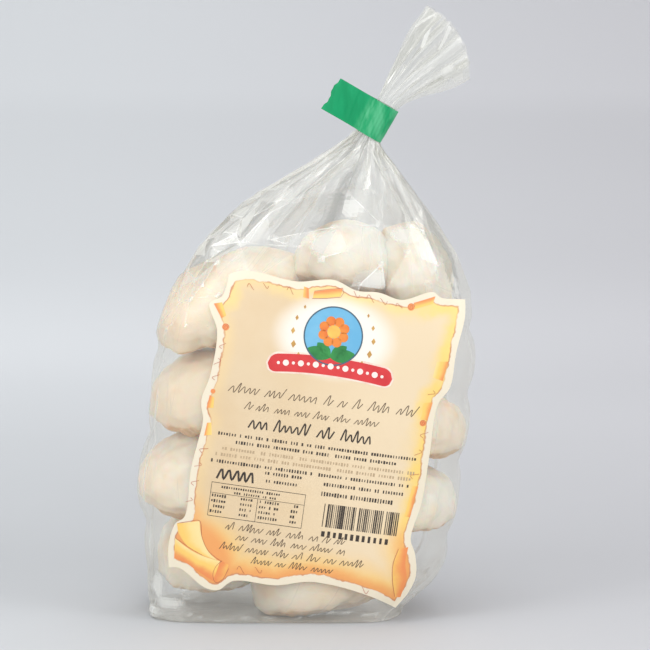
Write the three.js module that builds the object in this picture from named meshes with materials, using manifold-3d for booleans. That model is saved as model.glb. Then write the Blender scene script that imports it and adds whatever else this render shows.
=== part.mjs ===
// A clear bag of glazed cookies: one film bag filled with cookies, gathered at the neck,
// held there by a folded strip of green tape, with a die-cut paper label on its front.
// Millimetres, +Z up. The label faces -Y, and the bag stands on its flat bottom at z = 0.
// The film and the cookies that it holds are one solid, out to the film.
import * as THREE from "three";
import Module from "manifold-3d";
import { mergeVertices } from "three/addons/utils/BufferGeometryUtils.js";

const wasm = await Module();
wasm.setup();

// ---- Driving dimensions ----
const pointsAround = 72; // of each ring of the bag
const cookieSwell = 0.9; // how far a cookie's end pushes the side out
const cookieSeams = { left: [36.5, 69.5, 102], right: [31, 60, 86, 110] }; // where one lies on the next
const seamDepth = 2; // how far the film sinks in between two cookies
const seamHalfHeight = 5;
const backSeamShare = 0.9; // the back sinks in a little less than the sides do
const gatherPleats = 12; // folds of film that run into the neck
const ringSteps = 4; // rings from one station of the bag to the next
const frillDome = 5.2; // how far the middle of the frill's edge stands out

const tapeWidth = 13.6;
const tapeThickness = 0.5; // two layers, stuck together
const tapeFlagLength = 15.6;
const tapeAlong = 30; // degrees that the neck leans at the tape
const tapeTeeth = 3; // waves of the torn end
const tapeToothDepth = 0.9;
const fitGap = 0.35;

const labelMiddle = { x: 2, z: 71.3 };
const labelTilt = 8; // degrees, its right side down
const labelThickness = 0.5;
const labelGap = 0.6;
const labelCellsAcross = 22;
const labelCellsUp = 28;
const labelFlatShare = 0.84; // past this share of the bag's half width the label stays flat

// The bag's cross-sections, from the bottom up: the middle of each, its half width and half
// depth, how far its right side leans down, how square it is, how deep its pleats are, and
// how many rings run from it to the next, where that isn't ringSteps.
const bagStations = [
  { name: "base", x: -12, z: 0, halfWidth: 48.2, halfDepth: 27, lean: 0, square: 4.6, pleat: 0 },
  { name: "foot", x: -11.8, z: 3.5, halfWidth: 49.6, halfDepth: 28.5, lean: 0, square: 4.2, pleat: 0 },
  { name: "low", x: -4.4, z: 20.7, halfWidth: 56.7, halfDepth: 31, lean: 0, square: 4, pleat: 0, rings: 8 },
  { name: "belly", x: -2.9, z: 51.7, halfWidth: 61.3, halfDepth: 32, lean: 0, square: 4, pleat: 0, rings: 8 },
  { name: "chest", x: 1.5, z: 82.4, halfWidth: 60.8, halfDepth: 32.5, lean: 0, square: 4, pleat: 0, rings: 8 },
  { name: "top", x: 3.3, z: 110, halfWidth: 60, halfDepth: 31.5, lean: 0, square: 3.6, pleat: 0 },
  { name: "shoulder", x: 7.1, z: 134.7, halfWidth: 52, halfDepth: 28, lean: 0.5, square: 3, pleat: 0.015 },
  { name: "slope", x: 12.7, z: 155, halfWidth: 36.6, halfDepth: 19, lean: 4.2, square: 2.4, pleat: 0.05 },
  { name: "throat", x: 21, z: 173.2, halfWidth: 15.4, halfDepth: 9, lean: 11, square: 2, pleat: 0.11 },
  { name: "underTape", x: 23.6, z: 183.6, halfWidth: 4.3, halfDepth: 3.2, lean: 30, square: 2, pleat: 0.03 },
  { name: "overTape", x: 30.4, z: 195.4, halfWidth: 4.3, halfDepth: 3.2, lean: 30, square: 2, pleat: 0.03 },
  { name: "fan", x: 37, z: 203.2, halfWidth: 6.8, halfDepth: 4.4, lean: 40, square: 2, pleat: 0.16 },
  { name: "openFan", x: 46.4, z: 212.6, halfWidth: 11, halfDepth: 7.4, lean: 49, square: 2, pleat: 0.24 },
  { name: "frillEdge", x: 53.2, z: 219.6, halfWidth: 13, halfDepth: 9, lean: 58, square: 2, pleat: 0.26 },
];

// The label's outline in its own frame, across and up from its middle: torn parchment with
// a curl at the lower left. Each side runs from the bottom up or from left to right.
const labelSides = {
  left: [
    [-47, -56.6], [-48.2, -48], [-46.7, -39], [-43.7, -35.9], [-43.6, -17], [-42.4, -6],
    [-41.6, 2], [-43.3, 9.3], [-41.3, 19], [-41, 36.4], [-45.2, 45.7], [-40.8, 49.4], [-39.3, 57.6],
  ],
  right: [
    [40.6, -60.6], [44.4, -54.1], [46.4, -47], [44.8, -38.2], [42.3, -32.4], [44.4, -18],
    [44.7, 0.5], [45, 19.8], [48.7, 26.8], [49.2, 40], [50.6, 53.5], [49.8, 60.2],
  ],
  bottom: [
    [-47, -56.6], [-42.9, -56], [-32.2, -61.9], [-27.2, -62], [-22.1, -57.6], [-5.8, -57],
    [6.4, -53.9], [19.5, -54.5], [32.1, -57.2], [40.6, -60.6],
  ],
  top: [
    [-39.3, 57.6], [-34.7, 59.7], [-27.2, 60], [-14.3, 58.8], [-0.3, 61.3], [8.8, 58.6],
    [17, 59], [25.9, 57.4], [37.4, 61.5], [40.5, 59.7], [49.8, 60.2],
  ],
};

const radians = THREE.MathUtils.degToRad;

// ---- The bag ----
// A Catmull-Rom curve through one measure of every station.
const stationCurve = (measure) => {
  const values = bagStations.map((station) => station[measure]);
  return (at) => {
    const last = values.length - 1;
    const i = Math.min(Math.floor(at), last - 1);
    const t = at - i;
    const [a, b, c, d] = [i - 1, i, i + 1, i + 2].map((k) => values[THREE.MathUtils.clamp(k, 0, last)]);
    const slopeIn = (c - a) / 2;
    const slopeOut = (d - b) / 2;
    return (2 * t ** 3 - 3 * t ** 2 + 1) * b + (t ** 3 - 2 * t ** 2 + t) * slopeIn
      + (3 * t ** 2 - 2 * t ** 3) * c + (t ** 3 - t ** 2) * slopeOut;
  };
};

const measures = ["x", "z", "halfWidth", "halfDepth", "lean", "square", "pleat"];
const curves = Object.fromEntries(measures.map((measure) => [measure, stationCurve(measure)]));
const sectionAt = (at) => Object.fromEntries(measures.map((measure) => [measure, curves[measure](at)]));
const stationIndex = (name) => bagStations.findIndex((station) => station.name === name);

// How tightly the film holds the cookies at this height: 1 over the stacks, 0 below and above.
const holdAt = (z) => {
  const cookieTop = bagStations[stationIndex("shoulder")].z;
  const above = THREE.MathUtils.smoothstep(z, cookieTop - 20, cookieTop);
  return THREE.MathUtils.smoothstep(z, 5, 14) * (1 - above);
};

// How far the film sinks in between two cookies, for a place across from -1 to 1.
function sinkAt(across, z) {
  const near = (seam) => Math.exp(-(((z - seam) / seamHalfHeight) ** 2));
  const nearAny = (seams) => seams.reduce((sum, seam) => sum + near(seam), 0);
  const toRight = THREE.MathUtils.smoothstep(across, -0.25, 0.25);
  return seamDepth * THREE.MathUtils.lerp(nearAny(cookieSeams.left), nearAny(cookieSeams.right), toRight);
}

// A point of a section, for a share 0 to 1 of the way round it, across and deep from its middle.
function sectionPoint(section, share) {
  const side = share * 4 + 0.5;
  const quarter = Math.floor(side) % 4;
  const along = (side - Math.floor(side)) * 2 - 1;
  const [u, v] = [[1, along], [-along, 1], [-1, -along], [along, -1]][quarter];
  const reach = (Math.abs(u) ** section.square + Math.abs(v) ** section.square) ** (1 / section.square);
  const fold = share * gatherPleats;
  const zigzag = 4 * Math.abs(fold - Math.floor(fold) - 0.5) - 1;
  const out = (1 + section.pleat * zigzag) / reach;
  const sink = sinkAt(u, section.z);
  const sideways = holdAt(section.z) * (cookieSwell - sink) * Math.sign(u) * Math.abs(u / reach) ** 3;
  const backwards = v > 0 ? -holdAt(section.z) * backSeamShare * sink * (v / reach) ** 3 : 0;
  return new THREE.Vector2(u * section.halfWidth * out + sideways, v * section.halfDepth * out + backwards);
}

// Places a point of a leaning section in the bag's frame.
function placed(section, across, deep) {
  const lean = radians(section.lean);
  return [section.x + across * Math.cos(lean), deep, section.z - across * Math.sin(lean)];
}

function bagGeometry() {
  const rings = [];
  bagStations.slice(0, -1).forEach(({ rings: steps = ringSteps }, i) => {
    for (let k = 0; k < steps; k += 1) rings.push(sectionAt(i + k / steps));
  });
  // The frill's edge is domed: a last, smaller ring stands out along the neck.
  const edge = sectionAt(bagStations.length - 1);
  rings.push(edge);
  const outward = [Math.sin(radians(edge.lean)), Math.cos(radians(edge.lean))];
  const domed = (share, scale) => ({
    ...edge,
    x: edge.x + outward[0] * frillDome * share,
    z: edge.z + outward[1] * frillDome * share,
    halfWidth: edge.halfWidth * scale,
    halfDepth: edge.halfDepth * scale,
  });
  rings.push(domed(0.75, 0.55));

  const positions = [];
  for (const section of rings) {
    for (let k = 0; k < pointsAround; k += 1) {
      const point = sectionPoint(section, k / pointsAround);
      positions.push(...placed(section, point.x, point.y));
    }
  }
  const bottomMiddle = positions.length / 3;
  positions.push(...placed(rings[0], 0, 0));
  positions.push(...placed(domed(1, 1), 0, 0));

  const triangles = [];
  const lastRing = (rings.length - 1) * pointsAround;
  for (let k = 0; k < pointsAround; k += 1) {
    const next = (k + 1) % pointsAround;
    triangles.push(bottomMiddle, next, k, bottomMiddle + 1, lastRing + k, lastRing + next);
    for (let start = 0; start < lastRing; start += pointsAround) {
      const above = start + pointsAround;
      triangles.push(start + k, start + next, above + next, start + k, above + next, above + k);
    }
  }
  return indexedGeometry(positions, triangles);
}

// ---- The label ----
// How far the bag's front stands out at this place, in front of its middle plane.
function frontDepth(x, z) {
  let low = 0;
  let high = stationIndex("slope");
  for (let i = 0; i < 40; i += 1) {
    const middle = (low + high) / 2;
    if (curves.z(middle) < z) low = middle;
    else high = middle;
  }
  const section = sectionAt(low);
  const across = Math.min(Math.abs((x - section.x) / section.halfWidth), labelFlatShare);
  return section.halfDepth * (1 + section.pleat) * (1 - across ** section.square) ** (1 / section.square);
}

function labelGeometry() {
  const sides = Object.fromEntries(Object.entries(labelSides).map(([side, points]) => {
    const through = points.map(([across, up]) => new THREE.Vector3(across, up, 0));
    return [side, new THREE.CatmullRomCurve3(through, false, "centripetal")];
  }));
  const corners = [sides.bottom, sides.top].flatMap((side) => [side.getPointAt(0), side.getPointAt(1)]);
  const tilt = radians(labelTilt);

  // The outline's inside, blended from its four sides, then laid on the bag.
  const positions = [];
  for (const standoff of [labelGap, labelGap + labelThickness]) {
    for (let j = 0; j <= labelCellsUp; j += 1) {
      for (let i = 0; i <= labelCellsAcross; i += 1) {
        const [s, t] = [i / labelCellsAcross, j / labelCellsUp];
        const spot = sides.bottom.getPointAt(s).multiplyScalar(1 - t)
          .addScaledVector(sides.top.getPointAt(s), t)
          .addScaledVector(sides.left.getPointAt(t), 1 - s)
          .addScaledVector(sides.right.getPointAt(t), s)
          .addScaledVector(corners[0], -(1 - s) * (1 - t))
          .addScaledVector(corners[1], -s * (1 - t))
          .addScaledVector(corners[2], -(1 - s) * t)
          .addScaledVector(corners[3], -s * t);
        const x = labelMiddle.x + spot.x * Math.cos(tilt) + spot.y * Math.sin(tilt);
        const z = labelMiddle.z - spot.x * Math.sin(tilt) + spot.y * Math.cos(tilt);
        positions.push(x, -frontDepth(x, z) - standoff, z);
      }
    }
  }

  const rowLength = labelCellsAcross + 1;
  const layer = rowLength * (labelCellsUp + 1);
  const triangles = [];
  for (let j = 0; j < labelCellsUp; j += 1) {
    for (let i = 0; i < labelCellsAcross; i += 1) {
      const a = j * rowLength + i;
      const [b, c, d] = [a + 1, a + rowLength + 1, a + rowLength];
      triangles.push(a, c, b, a, d, c);
      triangles.push(layer + a, layer + b, layer + c, layer + a, layer + c, layer + d);
    }
  }
  const rim = [];
  for (let i = 0; i < labelCellsAcross; i += 1) rim.push(i);
  for (let j = 0; j < labelCellsUp; j += 1) rim.push(j * rowLength + labelCellsAcross);
  for (let i = labelCellsAcross; i > 0; i -= 1) rim.push(labelCellsUp * rowLength + i);
  for (let j = labelCellsUp; j > 0; j -= 1) rim.push(j * rowLength);
  rim.forEach((from, k) => {
    const to = rim[(k + 1) % rim.length];
    triangles.push(from, to, layer + to, from, layer + to, layer + from);
  });
  return indexedGeometry(positions, triangles);
}

// ---- The tape ----
// Across is along the strip, from the neck to its torn end at -X, and up is along the neck.
function tapeGeometry() {
  const neck = bagStations[stationIndex("underTape")];
  const inside = {
    across: neck.halfWidth * (1 + neck.pleat) + fitGap,
    deep: neck.halfDepth * (1 + neck.pleat) + fitGap,
  };
  const around = new THREE.Shape();
  around.absellipse(0, 0, inside.across + tapeThickness, inside.deep + tapeThickness, 0, 2 * Math.PI);
  const hole = new THREE.Path();
  hole.absellipse(0, 0, inside.across, inside.deep, 0, 2 * Math.PI, true);
  around.holes.push(hole);
  const strip = { depth: tapeWidth, bevelEnabled: false, curveSegments: 16 };
  const loop = new THREE.ExtrudeGeometry(around, strip);
  loop.translate(0, 0, -tapeWidth / 2);

  const start = -inside.across - tapeThickness / 2;
  const flagOutline = new THREE.Shape();
  flagOutline.moveTo(start, -tapeWidth / 2);
  flagOutline.lineTo(start, tapeWidth / 2);
  const steps = tapeTeeth * 8;
  for (let i = 0; i <= steps; i += 1) {
    const wave = Math.cos((2 * Math.PI * tapeTeeth * i) / steps) * tapeToothDepth;
    flagOutline.lineTo(start - tapeFlagLength - wave, tapeWidth * (0.5 - i / steps));
  }
  const flag = new THREE.ExtrudeGeometry(flagOutline, { depth: tapeThickness, bevelEnabled: false });
  flag.translate(0, 0, -tapeThickness / 2);
  flag.rotateX(Math.PI / 2);
  return geometryOf(solidOf(loop).add(solidOf(flag)));
}

// ---- Shared helpers ----
function indexedGeometry(positions, triangles) {
  const geometry = new THREE.BufferGeometry();
  geometry.setAttribute("position", new THREE.Float32BufferAttribute(positions, 3));
  geometry.setIndex(triangles);
  geometry.computeVertexNormals();
  return geometry;
}

function solidOf(geometry) {
  geometry.deleteAttribute("normal");
  geometry.deleteAttribute("uv");
  const merged = mergeVertices(geometry);
  return new wasm.Manifold(new wasm.Mesh({
    numProp: 3,
    vertProperties: merged.attributes.position.array,
    triVerts: new Uint32Array(merged.index.array),
  }));
}

function geometryOf(solid) {
  const mesh = solid.getMesh();
  return indexedGeometry(Array.from(mesh.vertProperties), Array.from(mesh.triVerts));
}

// ---- Materials and the assembled pack ----
const glaze = new THREE.MeshStandardMaterial({ color: 0xf1e9dc, roughness: 0.35, metalness: 0 });
const paper = new THREE.MeshStandardMaterial({ color: 0xf6dfae, roughness: 0.45, metalness: 0 });
const greenTape = new THREE.MeshStandardMaterial({ color: 0x17a263, roughness: 0.4, metalness: 0 });

function part(name, geometry, material) {
  const mesh = new THREE.Mesh(geometry, material);
  mesh.name = name;
  return mesh;
}

const pack = new THREE.Group();
pack.add(part("bag", bagGeometry(), glaze));
pack.add(part("label", labelGeometry(), paper));

const tape = part("tape", tapeGeometry(), greenTape);
const tapeEnds = [bagStations[stationIndex("underTape")], bagStations[stationIndex("overTape")]];
tape.rotation.y = radians(tapeAlong);
tape.position.set((tapeEnds[0].x + tapeEnds[1].x) / 2, 0, (tapeEnds[0].z + tapeEnds[1].z) / 2);
pack.add(tape);

// The origin is the middle of the pack's box, on the surface that it stands on.
const box = new THREE.Box3().setFromObject(pack, true);
pack.position.set(-(box.min.x + box.max.x) / 2, -(box.min.y + box.max.y) / 2, -box.min.z);

export default pack;
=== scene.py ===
# Clear bag of glazed cookies, with its label and tape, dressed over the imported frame.
# Shapes are worked out in millimetres, in the bag's own drawing, and placed in metres.
import math
import random

import bpy
import numpy as np
from mathutils import Euler, Matrix, Vector
from mathutils.bvhtree import BVHTree
from mathutils.geometry import delaunay_2d_cdt


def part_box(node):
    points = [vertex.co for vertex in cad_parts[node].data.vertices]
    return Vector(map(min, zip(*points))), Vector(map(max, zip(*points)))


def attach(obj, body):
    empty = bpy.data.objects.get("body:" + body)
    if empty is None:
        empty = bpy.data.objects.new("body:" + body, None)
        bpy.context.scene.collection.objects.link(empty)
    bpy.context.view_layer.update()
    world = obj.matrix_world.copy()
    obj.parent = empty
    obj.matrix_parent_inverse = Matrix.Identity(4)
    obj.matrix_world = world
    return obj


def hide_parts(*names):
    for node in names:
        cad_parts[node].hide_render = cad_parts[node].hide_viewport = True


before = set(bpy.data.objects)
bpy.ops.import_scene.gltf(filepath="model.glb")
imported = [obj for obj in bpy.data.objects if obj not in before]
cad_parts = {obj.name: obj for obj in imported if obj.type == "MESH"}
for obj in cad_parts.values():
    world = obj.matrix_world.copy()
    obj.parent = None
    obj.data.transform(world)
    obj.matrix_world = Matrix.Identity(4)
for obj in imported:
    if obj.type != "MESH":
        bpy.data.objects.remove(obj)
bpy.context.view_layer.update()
scene = bpy.context.scene
mm = 0.001

bag = {
    # x, z, half width, half depth, lean, squareness and pleat depth of each cross-section
    "stations": [
        (-12, 0, 48.2, 27, 0, 4.6, 0),
        (-11.8, 3.5, 49.6, 28.5, 0, 4.2, 0),
        (-4.4, 20.7, 56.7, 31, 0, 4, 0),
        (-2.9, 51.7, 61.3, 32, 0, 4, 0),
        (1.5, 82.4, 60.8, 32.5, 0, 4, 0),
        (3.3, 110, 60, 31.5, 0, 3.6, 0),
        (7.1, 134.7, 52, 28, 0.5, 3, 0.015),
        (12.7, 155, 36.6, 19, 4.2, 2.4, 0.05),
        (21, 173.2, 15.4, 9, 11, 2, 0.11),
        (23.6, 183.6, 4.3, 3.2, 30, 2, 0.03),
        (30.4, 195.4, 4.3, 3.2, 30, 2, 0.03),
        (37, 203.2, 6.8, 4.4, 40, 2, 0.16),
        (46.4, 212.6, 11, 7.4, 49, 2, 0.24),
        (53.2, 219.6, 13, 9, 58, 2, 0.26),
    ],
    "pleats": 12,
    "neckStation": 9.5,  # middle of the tape, where the two pieces of film meet
    "girth": 360,  # of the film laid flat
    "swell": 0.9,  # how far a cookie's end pushes the side out
    "seamsLeft": (36.5, 69.5, 102),  # heights where one cookie lies on the next
    "seamsRight": (31, 60, 86, 110),
    "seamDepth": 2,  # how far the film sinks in there, and how high
    "seamHalfHeight": 5,
    "backSeamShare": 0.9,
    "tightFrom": (5, 14),  # heights between which the film begins and stops to follow the cookies
    "tightTo": (114.7, 134.7),
}
film = {
    "around": 256,
    "up": 96,
    "thickness": 0.08,
    "mediumFacet": (11, 0.6),  # size and height of the small creases low on the film
    "smallFacet": (5, 0.22),
    "bottomFold": 1.1,
    "joinUp": 117.5,  # where the creased shoulder begins, along the film
    "cuts": 8,
    "uprights": (134, 141, 150, 3, 238, 30, 70, 110),  # columns with a long upright crease
    "seed": 7,
    "lowFold": 3.2,  # height of the flat fold at the bottom
    "clearance": 0.35,  # between the film and what it lies on
    "crumpled": (158, 222, 178),  # the most crumpled part of the shoulder: from and to, and below
    "calmTo": 345,  # the calmer part to the right of it
    "tries": 2600,  # at random corners
    "neckRows": ((191, 26, 1.1), (201.5, 30, 0.55)),  # rows of corners by the neck: up, count and depth
    "flowStretch": 0.06,  # how long the streaks towards the neck are
    # painted highlights: places across and up, half sizes across and up, and whiteness of facets that catch
    # the light
    "bright": [
        (213.5, 157.6, 6, 5, 0.9), (197, 163, 6, 4, 0.8), (206, 167, 6, 4, 0.9), (213, 148.5, 5, 4, 0.7),
        (223, 173, 5, 4, 0.8), (226, 187, 3, 5, 1.2), (274, 170.4, 6, 5.5, 1.0), (280, 185.4, 2.2, 9, 1.3),
        (306, 158, 13, 5, 0.75), (316, 145, 7, 12, 0.4), (331, 133, 3, 7, 1.0), (268.5, 153.3, 7, 6.5, 1.1),
        (285, 137.8, 7, 5, 1.1), (203, 151, 5, 4, 0.7), (192, 148, 5, 4, 0.9), (214, 160, 5, 5, 0.8),
        (216, 15, 5, 7, 0.9), (222, 8, 14, 3, 0.8), (208, 3, 10, 2, 0.9), (330, 8, 12, 3, 0.6),
    ],
    # painted shade along grey folds of the shoulder: from and to, then half width and depth of tone
    "dark": [
        ((352, 186), (337, 163), 2.6, 1.1), ((337, 163), (331, 138), 3.4, 1.2),
        ((331, 138), (330, 126), 2.6, 0.9), ((311, 184), (318, 166), 1.6, 0.8),
        ((318, 166), (321, 152), 2.2, 0.8), ((264, 186), (262, 160), 2.4, 0.7),
    ],
    # the shoulder's creases: corners round the film, up the film, and out from it
    "corners": [
        (224, 152.9, -2.2), (243.8, 154.5, -1.4), (258.5, 150.7, 0.6), (270.8, 160.9, 0.9),
        (268.2, 177.5, 1.6), (290.2, 163.1, -0.6), (209.3, 192, 0.7), (227, 180.8, 1.0),
        (212.8, 168.4, 1.6), (202.5, 162, -1.1), (188.8, 160.9, 1.3), (174.8, 158.8, -0.9),
        (168, 151, 1.0), (206.7, 148.6, 0.9), (209.5, 143.4, -1.1), (222, 143.5, 0.7),
        (199.8, 138.9, 0.8), (224.8, 171.1, -0.9), (218, 177.0, 1.1), (239.5, 172.2, -0.5),
        (231, 163.8, 0.8), (311, 163.6, -0.9), (284, 181.3, -0.5), (349, 173.8, 1.3), (343.2, 146.4, 1.0),
        (327.5, 130.9, -0.9), (320.5, 143.7, -0.6), (319.8, 159.3, 0.9), (281, 135.2, 0.3),
        (288.8, 144.3, 0.8), (290, 133.6, -0.4), (267.2, 146.4, 0.5), (276.5, 150.6, -0.7),
        (186, 143, -0.8), (193, 150.5, 1.2), (247, 137, 0.4), (300, 149, 0.5), (309, 136, 0.2),
        (334, 160, -1.0), (188, 171, -0.9), (199, 173, 0.9), (178, 166, 0.9), (236, 131, -0.2),
        (262, 131, 0.2), (335, 172, 0.3), (357, 160, -0.8), (256, 202, 0.6), (269, 204, -0.5),
        (280, 200, 0.9), (303, 202, -0.6), (328.5, 199, 0.8), (240, 203, -0.5),
    ],
    "creases": [
        (0, 2), (1, 3), (1, 2), (0, 8), (4, 3), (4, 5), (3, 5), (7, 6), (0, 17), (21, 27), (23, 24),
        (24, 25), (8, 9), (9, 0), (0, 14), (13, 0), (10, 9), (10, 11), (29, 30), (29, 28), (31, 32),
        (17, 19), (19, 46), (4, 47), (21, 48), (21, 49), (23, 50), (6, 51), (7, 6), (0, 20), (20, 19),
    ],
}
frill = {
    "around": 430,
    "up": 56,
    "pleats": 13,
    "finePleats": 19,
    "streaks": 22,
    "squeeze": 8,  # the flat film's girth to the gathered one's, at its edge
    "flare": 5.2,  # how far the middle of its edge stands out
    "seed": 21,
    # painted highlights as bright streaks: from and to, each across and up, then half width and whiteness
    "bright": [
        ((238, 29.5), (223.2, 38.7), 0.34, 4.5), ((265.8, 32.8), (253.8, 39.5), 0.34, 3.2),
        ((316, 31), (350, 35), 3.0, 1.3), ((200, 14), (212, 27), 0.35, 1.6),
        ((238, 14), (231, 22), 0.3, 1.6),
    ],
}
label = {
    "middle": (2.0, 71.3),
    "tilt": 8,
    "front": 1.1,  # its printed face, out from the bag
    "thickness": 0.3,
    "flatShare": 0.84,
    "across": 130,
    "up": 160,
    "ripple": 0.2,
}
tape = {
    "width": 13.6,
    "flag": 15.6,
    "thickness": 0.3,
    "lean": 30,
    "teeth": 1.5,
    "toothDepth": 0.45,
    "loop": (5.0, 3.95),  # half width and half depth round the neck
    "filmGap": 0.4,
    "widening": 0.5,  # of the film past the tape's edges, in loops a millimetre
}
# place of the middle, then length, width and height, then turns about X, Y and Z
cookies = {
    "cookieTopLeft": ((-27.5, -2, 120), (63, 52, 30), (3, -22, 4)),
    "cookieLeftUpper": ((-29.5, -1, 82.3), (63, 54, 33), (-3, -2, -6)),
    "cookieLeftMiddle": ((-34, -1, 50), (64, 54, 33), (2, 3, 8)),
    "cookieLeftLower": ((-39, 4, 19.5), (40, 50, 30), (4, 2, 12)),
    "cookieBottom": ((3.0, -4, 12.4), (51, 50, 32), (-2, -8, -4)),
    "cookieRightLower": ((28.5, -1, 42.5), (58, 54, 28), (2, 2, 5)),
    "cookieRightMiddle": ((31, 0, 71), (59, 54, 28), (-3, 2, -8)),
    "cookieRightUpper": ((27, 2, 97), (52, 50, 24), (2, -2, 4)),
    "cookieTopMiddle": ((15.5, -6, 135), (40, 40, 27), (-8, 10, 6)),
    "cookieTopRight": ((40.5, -1, 129), (42, 46, 24), (2, 80, -8)),
    "cookieTopBack": ((12, 13, 118), (36, 26, 17), (75, 0, 4)),
}
view = {
    "lookAt": (6.92, 0, 110.8),
    "elevation": 8,
    "distance": 1200,
    "lens": 172.8,
}


# ---- the bag's shape, and meshes from it
stations = np.array(bag["stations"], dtype=float)


def sectionsAt(at):
    at = np.atleast_1d(np.asarray(at, dtype=float))
    last = len(stations) - 1
    i = np.minimum(np.floor(at).astype(int), last - 1)
    t = (at - i)[:, None]
    a, b, c, d = (stations[np.clip(i + k, 0, last)] for k in (-1, 0, 1, 2))
    slopeIn = (c - a) / 2
    slopeOut = (d - b) / 2
    return ((2 * t**3 - 3 * t**2 + 1) * b + (t**3 - 2 * t**2 + t) * slopeIn
            + (3 * t**2 - 2 * t**3) * c + (t**3 - t**2) * slopeOut)


def smoothStep(value, low, high):
    t = np.clip((value - low) / (high - low), 0, 1)
    return t * t * (3 - 2 * t)


def triangleWave(value):
    return 4 * np.abs(value - np.floor(value) - 0.5) - 1


def bagPoints(share, sections, zigzag):
    # share round the bag and cross-sections, as rows and columns or one for one
    if sections.shape[:-1] != np.shape(share):
        share, sections = share[None, :], sections[:, None, :]
    x, z, halfWidth, halfDepth, lean, square, pleat = (sections[..., k] for k in range(7))
    side = share * 4 + 0.5
    quarter = np.floor(side).astype(int) % 4
    along = (side - np.floor(side)) * 2 - 1
    one = np.ones_like(along)
    u = np.choose(quarter, [one, -along, -one, along])
    v = np.choose(quarter, [along, one, -along, -one])
    reach = (np.abs(u) ** square + np.abs(v) ** square) ** (1 / square)
    out = (1 + pleat * zigzag) / reach
    hold = smoothStep(z, *bag["tightFrom"]) * (1 - smoothStep(z, *bag["tightTo"]))
    left, right = (sum(np.exp(-(((z - seam) / bag["seamHalfHeight"]) ** 2)) for seam in bag[key])
                   for key in ("seamsLeft", "seamsRight"))
    sink = bag["seamDepth"] * (left + (right - left) * smoothStep(u, -0.25, 0.25))
    across = u * halfWidth * out + hold * (bag["swell"] - sink) * np.sign(u) * np.abs(u / reach) ** 3
    deep = v * halfDepth * out - hold * bag["backSeamShare"] * sink * np.maximum(v / reach, 0) ** 3
    lean = np.radians(lean)
    return np.stack([x + across * np.cos(lean), deep + 0 * across, z - across * np.sin(lean)], axis=-1)


def evenStations(start, end, count):
    # stations whose rings lie evenly along the film
    dense = np.linspace(start, end, 500)
    rings = bagPoints(np.arange(8) / 8, sectionsAt(dense), 0)
    steps = np.linalg.norm(np.diff(rings, axis=0), axis=-1).mean(axis=1)
    walked = np.concatenate([[0], np.cumsum(steps)])
    return np.interp(np.linspace(0, walked[-1], count), walked, dense), np.linspace(0, walked[-1], count)


plainShare = np.arange(720) / 720
plainBag = bagPoints(plainShare, sectionsAt(np.linspace(0, len(stations) - 1, 240)),
                     triangleWave(plainShare * bag["pleats"])[None, :])
bagLow, bagHigh = (np.array(corner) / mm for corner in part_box("bag"))
shift = np.array([
    (bagLow[0] + bagHigh[0] - plainBag[..., 0].min() - plainBag[..., 0].max()) / 2,
    (bagLow[1] + bagHigh[1]) / 2,
    bagLow[2],
])
print("bag: drawing moved by", shift.round(2).tolist(), "mm")


def linked(name, data):
    piece = bpy.data.objects.new(name, data)
    scene.collection.objects.link(piece)
    return piece


def smoothMesh(name, points, faces, material):
    mesh = bpy.data.meshes.new(name)
    mesh.from_pydata(points.tolist(), [], faces)
    mesh.update()
    mesh.polygons.foreach_set("use_smooth", [True] * len(mesh.polygons))
    mesh.materials.append(material)
    return linked(name, mesh)


def meshPiece(name, points, faces, material):
    # from millimetres in the bag's drawing
    return smoothMesh(name, (np.asarray(points) + shift) * mm, faces, material)


def gridFaces(rows, columns, wrapped):
    j, k = np.meshgrid(np.arange(rows - 1), np.arange(columns if wrapped else columns - 1), indexing="ij")
    a = j * columns + k
    b = j * columns + (k + 1) % columns
    return np.stack([a, b, b + columns, a + columns], axis=-1).reshape(-1, 4).tolist()


def addAttribute(piece, name, values, domain="POINT"):
    layer = piece.data.attributes.new(name, "FLOAT", domain)
    layer.data.foreach_set("value", np.asarray(values, dtype=np.float32).ravel())


def addFlow(piece, across, up, gather):
    # where the film's own streaks run: round the bag, and slowly up it
    turn = np.asarray(across) / bag["girth"] * 2 * math.pi
    around = bag["girth"] / (2 * math.pi)
    rise = np.asarray(up) * film["flowStretch"]
    flow = np.stack([around * np.cos(turn), around * np.sin(turn), rise], axis=-1)
    layer = piece.data.attributes.new("flow", "FLOAT_VECTOR", "POINT")
    layer.data.foreach_set("vector", flow.astype(np.float32).ravel())
    addAttribute(piece, "gather", gather)


def evaluatedMesh(piece):
    graph = bpy.context.evaluated_depsgraph_get()
    return bpy.data.meshes.new_from_object(piece.evaluated_get(graph), depsgraph=graph)


def thickened(piece, thickness, offset=-1.0, sharpest=40):
    wall = piece.modifiers.new("wall", "SOLIDIFY")
    wall.thickness = thickness * mm
    wall.offset = offset
    wall.use_even_offset = False
    thick, thin = evaluatedMesh(piece), piece.data
    piece.modifiers.clear()
    piece.data = thick
    thick.name = piece.name
    bpy.data.meshes.remove(thin)
    thick.set_sharp_from_angle(angle=math.radians(sharpest))
    return piece


def outwardNormals(points):
    across = np.roll(points, -1, axis=1) - np.roll(points, 1, axis=1)
    up = np.gradient(points, axis=0)
    normals = np.cross(across, up)
    return normals / np.maximum(np.linalg.norm(normals, axis=-1, keepdims=True), 1e-9)


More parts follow.
